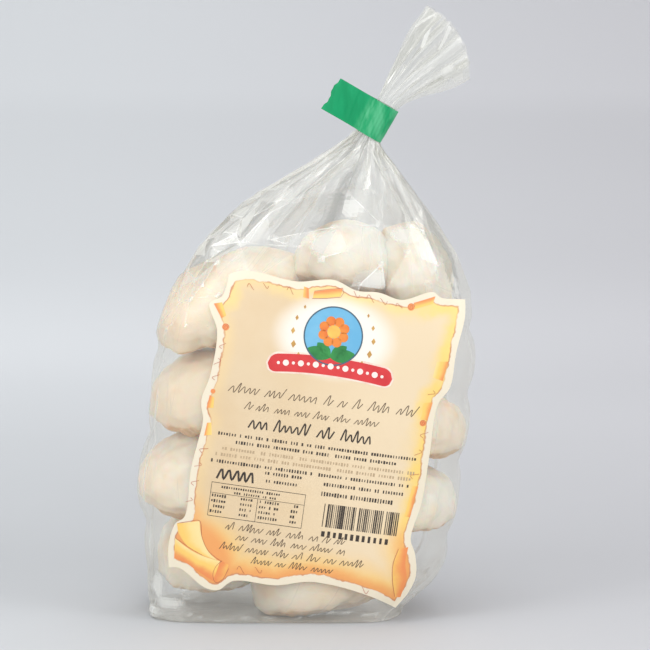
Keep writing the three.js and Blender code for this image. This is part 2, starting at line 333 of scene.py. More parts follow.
def crumple(across, up, facet, seed):
    # flat facets between random creases, -1 to 1 high, that meet themselves after one girth
    rng = random.Random(seed)
    girth = bag["girth"]
    columns = max(3, round(girth / facet))
    low, high = float(up.min()) - 2 * facet, float(up.max()) + 2 * facet
    spots = []
    for row in range(int((high - low) / facet) + 1):
        for column in range(columns):
            spots.append(((column + rng.uniform(-0.1, 0.95)) * girth / columns,
                          low + (row + rng.uniform(0, 1)) * facet, rng.uniform(-1, 1)))
    repeated = [(x + turn * girth, y, h) for turn in (-1, 0, 1) for x, y, h in spots
                if -3 * facet < x + turn * girth < girth + 3 * facet]
    flat, _, triangles, origin, _, _ = delaunay_2d_cdt([Vector(s[:2]) for s in repeated], [], [], 0, 1e-6)
    heights = [repeated[source[0]][2] if source else 0 for source in origin]
    tree = BVHTree.FromPolygons([(p.x, p.y, h) for p, h in zip(flat, heights)], triangles)
    above, down = 5, Vector((0, 0, -1))
    flatAcross, flatUp = np.broadcast_to(across, up.shape).ravel(), up.ravel()
    field = []
    for x, y in zip(flatAcross.tolist(), flatUp.tolist()):
        spot = tree.ray_cast(Vector((x, y, above)), down)[0]
        field.append(spot.z if spot else 0.0)
    return np.array(field).reshape(up.shape)


def creasesOf(field):
    # how sharply the field bends, 0 on a flat facet
    bend = np.roll(field, 1, 1) + np.roll(field, -1, 1) - 2 * field
    rows = np.zeros_like(field)
    rows[1:-1] = field[2:] + field[:-2] - 2 * field[1:-1]
    return np.abs(bend) + np.abs(rows)


# ---- node trees and materials
def srgb(red, green, blue):
    channels = [c / 255 for c in (red, green, blue)]
    return tuple(c / 12.92 if c < 0.04045 else ((c + 0.055) / 1.055) ** 2.4 for c in channels) + (1,)


class Value:
    # one output of a node; sums, products and the like of it are Math nodes in its tree
    def __init__(self, owner, socket):
        self.owner = owner
        self.socket = socket


def operated(operation, swapped):
    if swapped:
        return lambda value, other: value.owner.math(operation, other, value)
    return lambda value, other: value.owner.math(operation, value, other)


for sign, operation in (("add", "ADD"), ("sub", "SUBTRACT"), ("mul", "MULTIPLY"), ("truediv", "DIVIDE"),
                        ("pow", "POWER")):
    setattr(Value, f"__{sign}__", operated(operation, False))
    setattr(Value, f"__r{sign}__", operated(operation, True))


class Nodes:
    # a node tree, with short ways to add and join its nodes
    def __init__(self, tree, **sockets):
        self.tree = tree
        for direction, names in sockets.items():
            for name, kind in names.items():
                tree.interface.new_socket(name, in_out=direction, socket_type="NodeSocket" + kind)
        if "INPUT" in sockets:
            given = self.add("NodeGroupInput").outputs
            self.given = {name: Value(self, given[name]) for name in sockets["INPUT"]}

    def add(self, kind, inputs=None, **settings):
        node = self.tree.nodes.new(kind)
        for name, value in settings.items():
            setattr(node, name, value)
        for key, value in (inputs or {}).items():
            if isinstance(value, Value):
                self.tree.links.new(value.socket, node.inputs[key])
            else:
                node.inputs[key].default_value = value
        return node

    def value(self, kind, inputs=None, output=0, **settings):
        return Value(self, self.add(kind, inputs, **settings).outputs[output])

    def math(self, operation, *terms, clamp=False):
        return self.value("ShaderNodeMath", dict(enumerate(terms)), operation=operation, use_clamp=clamp)

    def axes(self, place):
        return [Value(self, socket) for socket in self.add("ShaderNodeSeparateXYZ", {0: place}).outputs]

    def place(self):
        return self.value("ShaderNodeTexCoord", output="Object")

    def noise(self, scale, detail=3.0, roughness=0.5, place=None):
        return self.value("ShaderNodeTexNoise", {"Vector": place or self.place(), "Scale": scale,
                                                 "Detail": detail, "Roughness": roughness})

    def blend(self, factor, first, second):
        return self.value("ShaderNodeMix", {0: factor, 6: first, 7: second}, 2, data_type="RGBA")


class Shading(Nodes):
    # a material
    def __init__(self, name):
        self.material = bpy.data.materials.new(name)
        self.material.use_nodes = True
        super().__init__(self.material.node_tree)
        self.tree.nodes.clear()

    def ramp(self, value, low, high, bottom=0.0, top=1.0):
        return self.value("ShaderNodeMapRange", {0: value, 1: low, 2: high, 3: bottom, 4: top},
                          interpolation_type="SMOOTHSTEP")

    def attribute(self, name, output="Fac"):
        return self.value("ShaderNodeAttribute", output=output, attribute_name=name)

    def bump(self, height, strength, distance):
        return self.value("ShaderNodeBump", {"Height": height, "Strength": strength,
                                             "Distance": distance * mm})

    def speckled(self, colour, tint, scale, amount):
        # the colour, and the height of its specks
        given = {"Colour": colour, "Tint": tint, "Scale": scale, "Amount": amount}
        node = self.add("ShaderNodeGroup", given, node_tree=speck)
        return [Value(self, socket) for socket in node.outputs]

    def painted(self, **settings):
        # one Principled surface is all of the material
        return self.finish(self.principled(**settings))

    def principled(self, **settings):
        inputs = {name.replace("_", " "): value for name, value in settings.items()}
        return self.value("ShaderNodeBsdfPrincipled", inputs)

    def finish(self, shader):
        self.add("ShaderNodeOutputMaterial", {0: shader})
        return self.material


def speckTree():
    # slow and fine variation of one colour, as on paper, ink or baked icing
    nodes = Nodes(bpy.data.node_groups.new("speck", "ShaderNodeTree"),
                  INPUT={"Colour": "Color", "Tint": "Color", "Scale": "Float", "Amount": "Float"},
                  OUTPUT={"Colour": "Color", "Height": "Float"})
    given = nodes.given
    noise = nodes.noise(given["Scale"], 5)
    share = nodes.value("ShaderNodeMapRange", {0: noise, 1: 0.35, 2: 0.7}) * given["Amount"]
    colour = nodes.blend(share, given["Colour"], given["Tint"])
    nodes.add("NodeGroupOutput", {"Colour": colour, "Height": noise})
    return nodes.tree


speck = speckTree()


def clearFilm(name, haze):
    # thin clear film: reflection by angle, milky where it gathers, and white along its creases
    shading = Shading(name)
    ramp, attribute = shading.ramp, shading.attribute
    flow, gather, hazeAndPaintedLight = attribute("flow", "Vector"), attribute("gather"), attribute("hazeAndPaintedLight")
    bands, narrow = shading.noise(0.1, 2, 0.5, flow), shading.noise(0.4, 2, 0.5, flow)
    height = bands * 0.8 + narrow * 0.14 + shading.noise(300, 2) * 0.12
    normal = shading.bump(height, 0.35, 0.5)
    line = ramp(attribute("toCrease"), 0.34, 0.12) * attribute("sharpness")
    line = line * ramp(shading.noise(90, 2), 0.34, 0.54)
    # thin threads of light where the film is drawn towards the neck
    drawn = shading.math("ABSOLUTE", shading.noise(0.2, 1, 0.4, flow) - 0.5)
    thread = ramp(drawn, 0.011, 0.003) * ramp(narrow, 0.45, 0.6) * ramp(gather, 0, 1, 0.05, 0.3)
    mirror = shading.value("ShaderNodeFresnel", {"IOR": 1.5, "Normal": normal})
    mirror = shading.math("MINIMUM", mirror, 0.17)
    # painted highlights raise the milky share through this attribute, along with the film's haze
    cloud = ramp(bands, 0.4, 0.66, 0.03, 0.17) * gather + haze + shading.math("MAXIMUM", hazeAndPaintedLight, 0.0) * 0.42
    share = shading.math("ADD", mirror, cloud + (thread + line * 0.45), clamp=True)
    surface = shading.principled(Base_Color=srgb(246, 246, 241), Metallic=0.25, Roughness=0.26,
                                 Normal=normal)
    # it darkens what is behind it where it lies double, and where painted shade takes the film's attribute
    # below zero
    doubledAndPaintedShade = ramp(bands, 0.52, 0.38, 0, 0.5) * gather
    doubledAndPaintedShade = shading.math("ADD", doubledAndPaintedShade, shading.math("MAXIMUM", hazeAndPaintedLight * -1.0, 0.0), clamp=True)
    tint = shading.blend(doubledAndPaintedShade, (0.99, 0.99, 0.985, 1), (0.84, 0.84, 0.83, 1))
    clear = shading.value("ShaderNodeBsdfTransparent", {0: tint})
    return shading.finish(shading.value("ShaderNodeMixShader", {0: share, 1: clear, 2: surface}))


def glazedCookie():
    # white sugar glaze, warm and thin in places, over a baked base
    shading = Shading("glazedCookie")
    ramp, noise, blend = shading.ramp, shading.noise, shading.blend
    broad = noise(30, 3, 0.55)
    fine, _ = shading.speckled(srgb(253, 248, 237), srgb(250, 239, 219), 110, 0.7)
    glaze = blend(ramp(broad, 0.38, 0.6, 0, 0.85), fine, srgb(248, 226, 196))
    thin = ramp(noise(75, 4, 0.6), 0.5, 0.68, 0, 0.7)
    glaze = blend(thin * ramp(broad, 0.44, 0.58), glaze, srgb(242, 208, 166))
    crumb, crumbHeight = shading.speckled(srgb(230, 194, 150), srgb(200, 156, 112), 380, 0.9)
    baked = shading.attribute("baked")
    # painted warm shade on the lower half of each cookie
    warm = shading.attribute("low") * ramp(broad, 0.3, 0.6, 0.35, 0.75)
    glaze = blend(warm, glaze, srgb(250, 228, 198))
    # browner just above the baked foot: partly real browning, partly painted warm shade on the underside
    glaze = blend(ramp(baked, 0.0, 0.4, 0, 0.5), glaze, srgb(238, 206, 164))
    under = ramp(baked, 0.35, 0.6)
    lumps = ramp(noise(52, 2, 0.45), 0.3, 0.75)
    runs = noise(130, 4, 0.6) * 0.55 + noise(420, 2) * 0.1
    height = runs + (crumbHeight * under + lumps * 1.2)
    return shading.painted(Base_Color=blend(under, glaze, crumb), Roughness=0.48 + under * 0.35,
                           Normal=shading.bump(height, 0.45, 1.1), Subsurface_Weight=0.45,
                           Subsurface_Scale=0.005, Coat_Weight=0.06, Coat_Roughness=0.3)


def parchmentPaper():
    # cream paper printed as old parchment: a pale border, a torn edge line, and a golden field
    shading = Shading("parchmentPaper")
    ramp, blend = shading.ramp, shading.blend
    edge, u, v = (shading.attribute(name) for name in ("edge", "u", "v"))
    slow, quick = shading.noise(130, 2), shading.noise(650, 3, 0.6)
    torn = edge + (slow - 0.5) * 3.4 + (quick - 0.5) * 0.9
    patchy = torn + (slow - 0.5) * -16
    rightSide, lowSide = ramp(u, 22, 42), ramp(v, -22, -44)
    # the gold fades towards the rolled corner, lower left
    cornerU, cornerV = u + 46, v + 58
    fromRoll = shading.math("SQRT", cornerU * cornerU + cornerV * cornerV) - 21
    nearLow = shading.math("MINIMUM", torn - 2.6, fromRoll)
    # soft white light behind the round picture
    glowU, glowV = (u - 3.0) * (1 / 22), (v - 40.0) * (1 / 15)
    field, _ = shading.speckled(srgb(229, 206, 170), srgb(223, 195, 153), 45, 0.8)
    for share, colour in (
            (ramp(u, -25, 30, 0, 0.85), srgb(240, 219, 184)),
            ((1.0 - ramp(torn, 2.5, 9.0)) * 0.4, srgb(247, 214, 146)),
            (rightSide * (1.0 - ramp(patchy, 2.0, 11.0)) * 0.85, srgb(252, 216, 110)),
            (ramp(v, 26, 48) * ramp(patchy, 8.0, 1.0) * 0.6, srgb(250, 222, 140)),
            (lowSide * (1.0 - ramp(nearLow, 1.0, 14.0)) * 0.9, srgb(248, 203, 118)),
            (lowSide * (1.0 - ramp(nearLow, 0.0, 6.5)) * 0.85, srgb(240, 158, 92)),
            (ramp(glowU * glowU + glowV * glowV, 1.35, 0.45, 0, 0.92), srgb(252, 246, 236))):
        field = blend(share, field, colour)
    paper = blend(ramp(torn, 2.5, 2.75), srgb(240, 229, 205), field)
    line = ramp(torn, 2.35, 2.6) * ramp(torn, 3.15, 2.85)
    colour = blend(line * ramp(slow, 0.36, 0.6, 0.25, 0.9), paper, srgb(206, 140, 100))
    return shading.painted(Base_Color=colour, Roughness=0.38, Normal=shading.bump(quick, 0.05, 0.1),
                           Coat_Weight=0.08, Coat_Roughness=0.25)


def ink(name, colour, tint, amount=0.6, scale=300):
    shading = Shading(name)
    mottled, height = shading.speckled(srgb(*colour), srgb(*tint), scale, amount)
    return shading.painted(Base_Color=mottled, Roughness=0.42, Normal=shading.bump(height, 0.04, 0.05))


def rolledPaper():
    # the printed rolls and curls, shaded across from pale to yellow to orange
    shading = Shading("rolledPaper")
    shade = shading.attribute("across") + (shading.noise(220) - 0.5) * 0.35
    colour = shading.blend(shading.ramp(shade, 0.0, 0.45), srgb(250, 226, 158), srgb(252, 208, 112))
    colour = shading.blend(shading.ramp(shade, 0.45, 0.95), colour, srgb(240, 148, 88))
    return shading.painted(Base_Color=colour, Roughness=0.4)


def greenTape():
    # tape with a faint weave of stretch marks, paler where it runs over the gathered film
    shading = Shading("greenTape")
    stretched = shading.value("ShaderNodeMapping", {"Vector": shading.place(), "Scale": (1, 1, 0.25)})
    streaks = shading.noise(240, 3, 0.55, stretched)
    colour = shading.blend(shading.ramp(streaks, 0.35, 0.7), srgb(6, 146, 92), srgb(22, 160, 104))
    pale = shading.blend(shading.ramp(streaks, 0.4, 0.62), srgb(40, 168, 108), srgb(112, 202, 152))
    colour = shading.blend(shading.attribute("overNeck") * 0.5, colour, pale)
    return shading.painted(Base_Color=colour, Roughness=0.4, Normal=shading.bump(streaks, 0.25, 0.3),
                           Specular_IOR_Level=0.22)


def studioPaper():
    # a pale sweep with painted light and shade: brightest where it curves up, darker on the floor and to the
    # right
    shading = Shading("studioPaper")
    x, y, _ = shading.axes(shading.place())
    start = 0.1  # how far in front of the middle the greys begin
    along = y + start
    depths = (-0.03, 0.02, 0.09, 0.21, 0.37, 0.46, 0.55, 0.63, 0.69, 0.76, 0.82, 0.88)

    def greys(values, red, blue):
        ramp = shading.add("ShaderNodeValToRGB", {0: along})
        ramp.color_ramp.interpolation = "B_SPLINE"
        colours = [srgb(grey + red, grey, grey + blue) for grey in values]
        first, last = ramp.color_ramp.elements
        first.position, last.position = 0.02, 1.0
        first.color, last.color = colours[0], colours[-1]
        for depth, colour in zip(depths, colours[1:-1]):
            ramp.color_ramp.elements.new(depth + start).color = colour
        return Value(shading, ramp.outputs[0])

    left = greys((207, 205, 196, 196, 201, 213, 220, 228, 234, 230, 220, 220, 216, 222), -3, 2)
    right = greys((193, 192, 192, 192, 189, 201, 205, 208, 210, 211, 203, 205, 200, 210), 0, 3)
    surface = shading.principled(Base_Color=shading.blend(shading.ramp(x, -0.25, 0.25), left, right),
                                 Roughness=0.75)
    # open from behind, so that a camera at the back sees the bag
    behind = shading.value("ShaderNodeNewGeometry", output="Backfacing")
    clear = shading.value("ShaderNodeBsdfTransparent")
    return shading.finish(shading.value("ShaderNodeMixShader", {0: behind, 1: surface, 2: clear}))


# ---- the clear film
def drapedOver(points, contents, clearance):
    # film that would pass through what is inside lies on top of it instead
    shapes = []
    for piece in contents:
        corners = [(vertex.co / mm - Vector(shift)) for vertex in piece.data.vertices]
        shapes.append(BVHTree.FromPolygons(corners, [face.vertices for face in piece.data.polygons]))
    for k, place in enumerate(points.tolist()):
        place = Vector(place)
        for shape in shapes:
            spot, normal, _, _ = shape.find_nearest(place, 12)
            if spot is not None and (place - spot).dot(normal) < clearance:
                place = spot + normal * clearance
        points[k] = place
    return points


def glints(across, up, facet=None):
    # painted highlights: whiteness of spots that catch the light, strongest in the facet that a spot lies in
    total = np.zeros(len(across))
    for a, b, wide, tall, white in film["bright"]:
        if facet is not None:
            sides = zip(facet, np.roll(facet, -1, axis=0))
            turns = [np.cross(q - p, (a - p[0], b - p[1])) for p, q in sides]
            if min(turns) < 0 < max(turns):
                white = white * 0.3
        away = ((across - a) / wide) ** 2 + ((up - b) / tall) ** 2
        total = np.maximum(total, white * np.clip(1 - away**2, 0, 1))
    return total


tapeLean = math.radians(tape["lean"])
tapeMiddle = (stations[9] + stations[10])[:2] / 2


def besideTape(across, out, along):
    # a place at the neck, from its distances across, out from and along the tape's middle
    return np.stack([tapeMiddle[0] + across * math.cos(tapeLean) + along * math.sin(tapeLean), out,
                     tapeMiddle[1] - across * math.sin(tapeLean) + along * math.cos(tapeLean)], axis=-1)


def heldByTape(points):
    # under the tape the film is drawn in to lie inside its loop, and widens again beyond it
    x, z = points[..., 0] - tapeMiddle[0], points[..., 2] - tapeMiddle[1]
    across = x * math.cos(tapeLean) - z * math.sin(tapeLean)
    along = x * math.sin(tapeLean) + z * math.cos(tapeLean)
    halfWidth, halfDepth = (half - tape["filmGap"] for half in tape["loop"])
    reach = np.hypot(across / halfWidth, points[..., 1] / halfDepth)
    beyond = np.maximum(np.abs(along) - tape["width"] / 2 - tape["filmGap"], 0)
    share = np.minimum(1, (1 + tape["widening"] * beyond) / np.maximum(reach, 1e-6))
    return besideTape(across * share, points[..., 1] * share, along)


def streakCover(across, up, streaks, squeeze):
    # how strongly straight streaks cover each place; squeeze is the flat film's girth to the gathered one's
    cover = np.zeros(np.broadcast_shapes(np.shape(across), np.shape(up)))
    for (a0, up0), (a1, up1), wide, strength in streaks:
        run, rise = (a1 - a0) / squeeze, up1 - up0
        aside, above = (across - a0) / squeeze, up - up0
        t = np.clip((aside * run + above * rise) / (run**2 + rise**2), 0, 1)
        away = np.hypot(aside - t * run, above - t * rise)
        cover = np.maximum(cover, strength * np.clip(1 - (away / wide) ** 4, 0, 1))
    return cover


def shoulderFilm(at, walked, start):
    # flat facets between the creases' corners; more corners at random behind and at the sides
    rng = random.Random(film["seed"])
    girth, join, top = bag["girth"], film["joinUp"], float(walked[-1])
    leftmost, rightmost, highest = film["crumpled"]
    corners = list(film["corners"])
    handPlaced = len(corners)
    for _ in range(film["tries"]):
        a, up = rng.uniform(0, girth), rng.uniform(join + 9, 180)
        spacing, height = 10 + 9 * max(0.0, (up - 125) / 55), 1.1
        if leftmost < a < rightmost:
            spacing, height = 5.8, 1.05
        elif rightmost <= a < film["calmTo"]:
            spacing, height = spacing * 1.5, 0.45
        room = min(math.hypot((a - c[0] + girth / 2) % girth - girth / 2, up - c[1]) for c in corners)
        if room > spacing:
            corners.append((a, up, rng.uniform(-1, 1) * height))
    for up, count, height in film["neckRows"]:
        for k in range(count):
            a = (k + rng.uniform(-0.22, 0.22)) * girth / count % girth
            if min(math.hypot(a - c[0], up - c[1]) for c in corners[:handPlaced]) > 4:
                lift = up + rng.uniform(-3, 3)
                corners.append((a, lift, height * (1 if k % 2 else -1) * rng.uniform(0.5, 1.2)))
    edgeCorners = 32
    for k in range(edgeCorners):
        corners += [(k * girth / edgeCorners, up, 0) for up in (join, top)]

    repeated, edges = [], []
    for turn in (-1, 0, 1):
        edges += [(len(repeated) + i, len(repeated) + j) for i, j in film["creases"]]
        repeated += [(a + turn * girth, up, h) for a, up, h in corners]
    flat, sides, triangles, origin, kept, _ = delaunay_2d_cdt(
        [Vector(c[:2]) for c in repeated], edges, [], 0, 1e-6)
    flat = np.array([tuple(f) for f in flat])
    creased = {frozenset(side) for side, source in zip(sides, kept) if source}
    heights = np.array([repeated[source[0]][2] if source else 0.0 for source in origin])

    def bare(a, up):
        stand = np.interp(up, walked, at)
        here = bagPoints(a / girth % 1, sectionsAt(stand), 0)
        beside = bagPoints((a / girth + 0.001) % 1, sectionsAt(stand), 0) - here
        above = bagPoints(a / girth % 1, sectionsAt(stand + 0.01), 0) - here
        out = np.cross(beside, above)
        return here, out / np.maximum(np.linalg.norm(out, axis=-1, keepdims=True), 1e-9)

    corner3d, cornerOut = bare(flat[:, 0], flat[:, 1])
    corner3d = corner3d + cornerOut * heights[:, None]
    cuts = film["cuts"]
    steps = [(i, j) for i in range(cuts + 1) for j in range(cuts + 1 - i)]
    share = np.array([(1 - (i + j) / cuts, i / cuts, j / cuts) for i, j in steps])
    spot = {step: k for k, step in enumerate(steps)}
    cells = []
    for i, j in steps:
        if i + j < cuts:
            cells.append((spot[i, j], spot[i + 1, j], spot[i, j + 1]))
        if i + j < cuts - 1:
            cells.append((spot[i + 1, j], spot[i + 1, j + 1], spot[i, j + 1]))

    seen, faces, hazeAndPaintedLight = {}, [], []
    mapped, facet3d, nearCrease, sharpness = [], [], [], []
    for triangle in triangles:
        own = flat[list(triangle)]
        middle = own.mean(axis=0)
        if not 0 <= middle[0] < girth or not join < middle[1] < top:
            continue
        shape = corner3d[list(triangle)]
        lengths = np.linalg.norm(np.roll(shape, -1, axis=0) - np.roll(shape, -2, axis=0), axis=1)
        area = np.linalg.norm(np.cross(shape[1] - shape[0], shape[2] - shape[0]))
        places, solid = share @ own, share @ shape
        toSide = share * area / np.maximum(lengths, 1e-6)
        # a side that is no crease of the list shows less
        crumpled = leftmost < middle[0] < rightmost and middle[1] < highest
        for k in range(3):
            if frozenset((triangle[(k + 1) % 3], triangle[(k + 2) % 3])) not in creased:
                toSide[:, k] += (0.14 if crumpled else 0.34) * (1 - 0.5 * rng.random())
        tone = rng.uniform(-0.8, 0.7) if crumpled else rng.uniform(-0.15, 0.14)
        tone = tone * float(smoothStep(middle[1], 126, 144))
        index = []
        for (a, up), where, gaps in zip(places.tolist(), solid, toSide):
            key = (round(a % girth, 2) % girth, round(up, 2))
            if key not in seen:
                seen[key] = len(mapped)
                mapped.append((a % girth, up))
                facet3d.append(where)
                nearCrease.append(gaps.min())
                sharpness.append(0.35 + 0.65 * rng.random())
            index.append(seen[key])
        faces += [[index[k] for k in cell] for cell in cells]
        centres = places[np.array(cells)].mean(axis=1)
        # each cell's random tone, with painted highlights at the listed spots and painted shade along the
        # listed grey folds
        bright = glints(centres[:, 0], centres[:, 1], own)
        shade = streakCover(centres[:, 0], centres[:, 1], film["dark"], 1.8)
        hazeAndPaintedLight += np.where(bright > 0.1, np.maximum(tone, 0) + bright, tone - shade).tolist()

    mapped, facet3d = np.array(mapped), np.array(facet3d)
    base, out = bare(mapped[:, 0], mapped[:, 1])
    blend = smoothStep(mapped[:, 1], join + 1, join + 15) * (1 - smoothStep(mapped[:, 1], 205, top - 1))
    points = base + (facet3d - base) * blend[:, None]
    # folds that run into the neck
    fold = triangleWave(mapped[:, 0] / girth * 44 + 0.3 * np.sin(mapped[:, 1] / 11))
    reach = smoothStep(mapped[:, 1], 172, 200) * (1 - smoothStep(mapped[:, 1], 208, top - 1))
    points += out * (0.42 * fold * reach)[:, None]
    # the bottom ring is the body film's own top ring
    ring = np.abs(mapped[:, 1] - join) < 0.01
    columns = np.rint(mapped[:, 0] / girth * film["around"]).astype(int) % film["around"]
    place = np.where(ring, start - film["around"] + columns, start + np.cumsum(~ring) - 1)
    faces = [[int(place[k]) for k in face] for face in faces]
    return points[~ring], faces, mapped[~ring], np.array(nearCrease)[~ring], np.array(sharpness)[~ring], hazeAndPaintedLight


def bagFilm(contents):
    at, walked = evenStations(0, bag["neckStation"], 400)
    ups = np.linspace(0, film["joinUp"], film["up"])
    sections = sectionsAt(np.interp(ups, walked, at))
    share = np.arange(film["around"]) / film["around"]
    points = bagPoints(share, sections, 0)
    normals = outwardNormals(points)
    z = points[..., 2]
    leftEdge = smoothStep(-normals[..., 0], 0.3, 0.9)
    up = np.repeat(ups[:, None], len(share), axis=1)
    across = share[None, :] * bag["girth"]

    # shallow creases where the film is tight over its contents
    medium, small = film["mediumFacet"], film["smallFacet"]
    high = smoothStep(z, 80, 112)
    tight = 0.3 + 0.6 * high + 0.4 * leftEdge
    offset = medium[1] * crumple(across, up, medium[0], film["seed"] + 1) * tight
    offset += small[1] * crumple(across, up, small[0], film["seed"] + 2) * (0.25 + 0.5 * high)

    # crumpled low down, where it is folded under
    low = 1 - smoothStep(z, 6, 24)
    atSide = smoothStep(np.abs(points[..., 0] - sections[:, 0][:, None]), 22, 44)
    folded = low * (0.25 + 0.75 * atSide) * crumple(across, up * 1.3, 8, film["seed"] + 3)
    offset += film["bottomFold"] * folded
    offset = offset * (1 - smoothStep(up, film["joinUp"] - 9, film["joinUp"]))

    # behind the label the film lies flat
    spotU, spotV = labelFrame(points[..., 0], points[..., 2])
    behind = (points[..., 1] < 0) & (np.abs(spotU) < 56) & (np.abs(spotV) < 67)
    offset = np.where(behind, np.clip(offset, -0.6, 0.25), offset)
    points = points + normals * offset[..., None]
    points[..., 2] = np.maximum(points[..., 2], 0.0)
    points[0, :, 2] = 0.0

    # the folded bottom, closed to its middle
    rim = points[0]
    middle = rim.mean(axis=0)
    floorRows = []
    for ring in np.linspace(0.04, 0.95, 14):
        row = middle + (rim - middle) * ring
        row[:, 2] = 0.25 + 0.2 * np.sin(row[:, 0] / 5) * np.sin(row[:, 1] / 7)
        floorRows.append(row)
    points = np.concatenate([np.array(floorRows), points])
    around, ground = len(share), len(floorRows) * len(share)
    body = len(points) * around
    # the shoulder's haze comes with its painted highlights and painted shade
    shoulder, shoulderFaces, mapped, near, sharp, haze = shoulderFilm(at, walked, body)
    flat = np.concatenate([points.reshape(-1, 3), shoulder, [middle + np.array([0, 0, 0.3])]])
    centre = len(flat) - 1
    faces = gridFaces(len(points), around, True) + [[centre, (k + 1) % around, k] for k in range(around)]
    flat[ground:-1] = heldByTape(drapedOver(flat[ground:-1], contents, film["clearance"]))

    def withFloor(values, onFloor=0.0):
        # the closed bottom has no place up the film
        return np.concatenate([np.full(ground, onFloor), values.ravel()])

    columns = np.tile(np.arange(around), len(points))
    half = around // 2
    gaps = [np.abs((columns - column + half) % around - half) * bag["girth"] / around
            for column in film["uprights"]]
    wave = 1.4 * np.sin(columns / 9) + 0.8 * np.sin(columns / 3.1 + 1)
    gaps.append(np.abs(withFloor(up, 60.0) + wave - film["lowFold"]) * 0.6 + 0.1)
    gaps.append(0.34 - 0.3 * np.clip(withFloor(creasesOf(folded * 1.6)), 0, 0.85))
    upAll, acrossAll = withFloor(up), np.tile(share * bag["girth"], len(points))
    corner = np.array([face[0] if face[0] < body else 0 for face in faces])
    # milky where the film folds low down, lighter near the floor both as folded film and as painted light
    # over the shade at its foot, with painted highlights from the glints
    underfoot = 1 - smoothStep(upAll[corner], 4, 26)
    hazeAndPaintedLight = 0.05 + 0.5 * withFloor(folded)[corner] + 0.14 * underfoot
    hazeAndPaintedLight += glints(acrossAll[corner], upAll[corner])

    piece = meshPiece("bagFilm", flat, faces + shoulderFaces, clearFilm("clearFilm", 0.015))
    acrossAll = np.concatenate([acrossAll, mapped[:, 0], [0.0]])
    upAll = np.concatenate([upAll, mapped[:, 1], [0.0]])
    addFlow(piece, acrossAll, upAll, smoothStep(upAll, 118, 172))
    addAttribute(piece, "toCrease", np.concatenate([np.min(gaps, axis=0), near, [9.0]]))
    addAttribute(piece, "sharpness", np.concatenate([np.full(body, 0.5), sharp, [0.0]]))
    addAttribute(piece, "hazeAndPaintedLight", np.concatenate([hazeAndPaintedLight, haze]), "FACE")
    return thickened(piece, film["thickness"], sharpest=7)


def frillGlints(up, across):
    # painted highlights as long bright streaks on some of its pleats, and painted shade as a greyer fold
    # here and there
    rng = random.Random(frill["seed"] + 1)
    hazeAndPaintedLight = np.zeros(np.broadcast_shapes(up.shape, across.shape))
    for k in range(frill["streaks"]):
        middle = (k + rng.uniform(0.1, 0.9)) * bag["girth"] / frill["streaks"]
        low = rng.uniform(2, 26)
        high = low + rng.uniform(9, 26)
        white = rng.choice((1.3, 0.9, 0.6, -0.7))
        along = smoothStep(up, low, low + 5) * (1 - smoothStep(up, high - 5, high))
        hazeAndPaintedLight += white * along * np.clip(1 - (np.abs(across - middle) / rng.uniform(1.6, 4.5)) ** 4, 0, 1)
    return np.maximum(hazeAndPaintedLight, streakCover(across, up, frill["bright"], frill["squeeze"]))


def frillFilm():
    rng = random.Random(frill["seed"])
    last = len(stations) - 1
    at, walked = evenStations(bag["neckStation"], last, frill["up"])
    sections = sectionsAt(at)
    share = np.arange(frill["around"]) / frill["around"]
    up = np.repeat(walked[:, None], len(share), axis=1)
    across = share[None, :] * bag["girth"]
    rise = smoothStep(walked, 3, walked[-1])[:, None]
    sway = 0.16 * np.sin(up / 9 + 1) + 0.1 * np.sin(share * 2 * math.pi * 3 + 2)[None, :]
    zigzag = triangleWave(share[None, :] * frill["pleats"] + sway)
    uneven = 0.55 + 0.45 * np.sin(2 * math.pi * (share * 4 + 0.2))[None, :]
    zigzag = zigzag * uneven + 0.3 * triangleWave(share[None, :] * frill["finePleats"] + 2 * sway)
    points = bagPoints(share, sections, zigzag)
    normals = outwardNormals(bagPoints(share, sections, 0))
    facets = 0.8 * crumple(across, up, 17, frill["seed"]) + 0.35 * crumple(across, up, 7, frill["seed"] + 1)
    offset = facets * (0.15 + 0.85 * rise)
    points = points + normals * offset[..., None]

    # its edge bows out along the neck, a little uneven
    lean = np.radians(sections[:, 4])[:, None]
    fromMiddle = ((points[..., 0] - sections[:, 0][:, None]) * np.cos(lean)
                  - (points[..., 2] - sections[:, 1][:, None]) * np.sin(lean)) / sections[:, 2][:, None]
    ragged = 0.5 * np.sin(share * 2 * math.pi * 9 + rng.random())[None, :]
    bow = frill["flare"] * np.clip(1 - (fromMiddle / 1.25) ** 2, 0, 1) * rise**1.5 + ragged * rise**3
    points[..., 0] += bow * np.sin(lean)
    points[..., 2] += bow * np.cos(lean)
    points = heldByTape(points)
    piece = meshPiece("frillFilm", points.reshape(-1, 3), gridFaces(len(points), len(share), True),
                      clearFilm("frillFilm", 0.045))
    crease = creasesOf(zigzag * sections[:, 3][:, None] * 0.25 + offset)
    addAttribute(piece, "toCrease", 0.34 - 0.3 * np.clip(crease * 1.6, 0, 1))
    addAttribute(piece, "sharpness", np.ones(crease.size))
    addFlow(piece, np.broadcast_to(across, up.shape).ravel(), up.ravel() * 0.4, np.full(crease.size, 0.45))
    addAttribute(piece, "hazeAndPaintedLight", frillGlints(up, across))
    return thickened(piece, film["thickness"])


# ---- the label
def labelFrame(x, z):
    # across and up from the label's middle, along its own tilt
    tilt = math.radians(label["tilt"])
    x = x - label["middle"][0]
    z = z - label["middle"][1]
    return x * math.cos(tilt) - z * math.sin(tilt), x * math.sin(tilt) + z * math.cos(tilt)


frontAt = np.linspace(0, 8, 400)
frontSections = sectionsAt(frontAt)


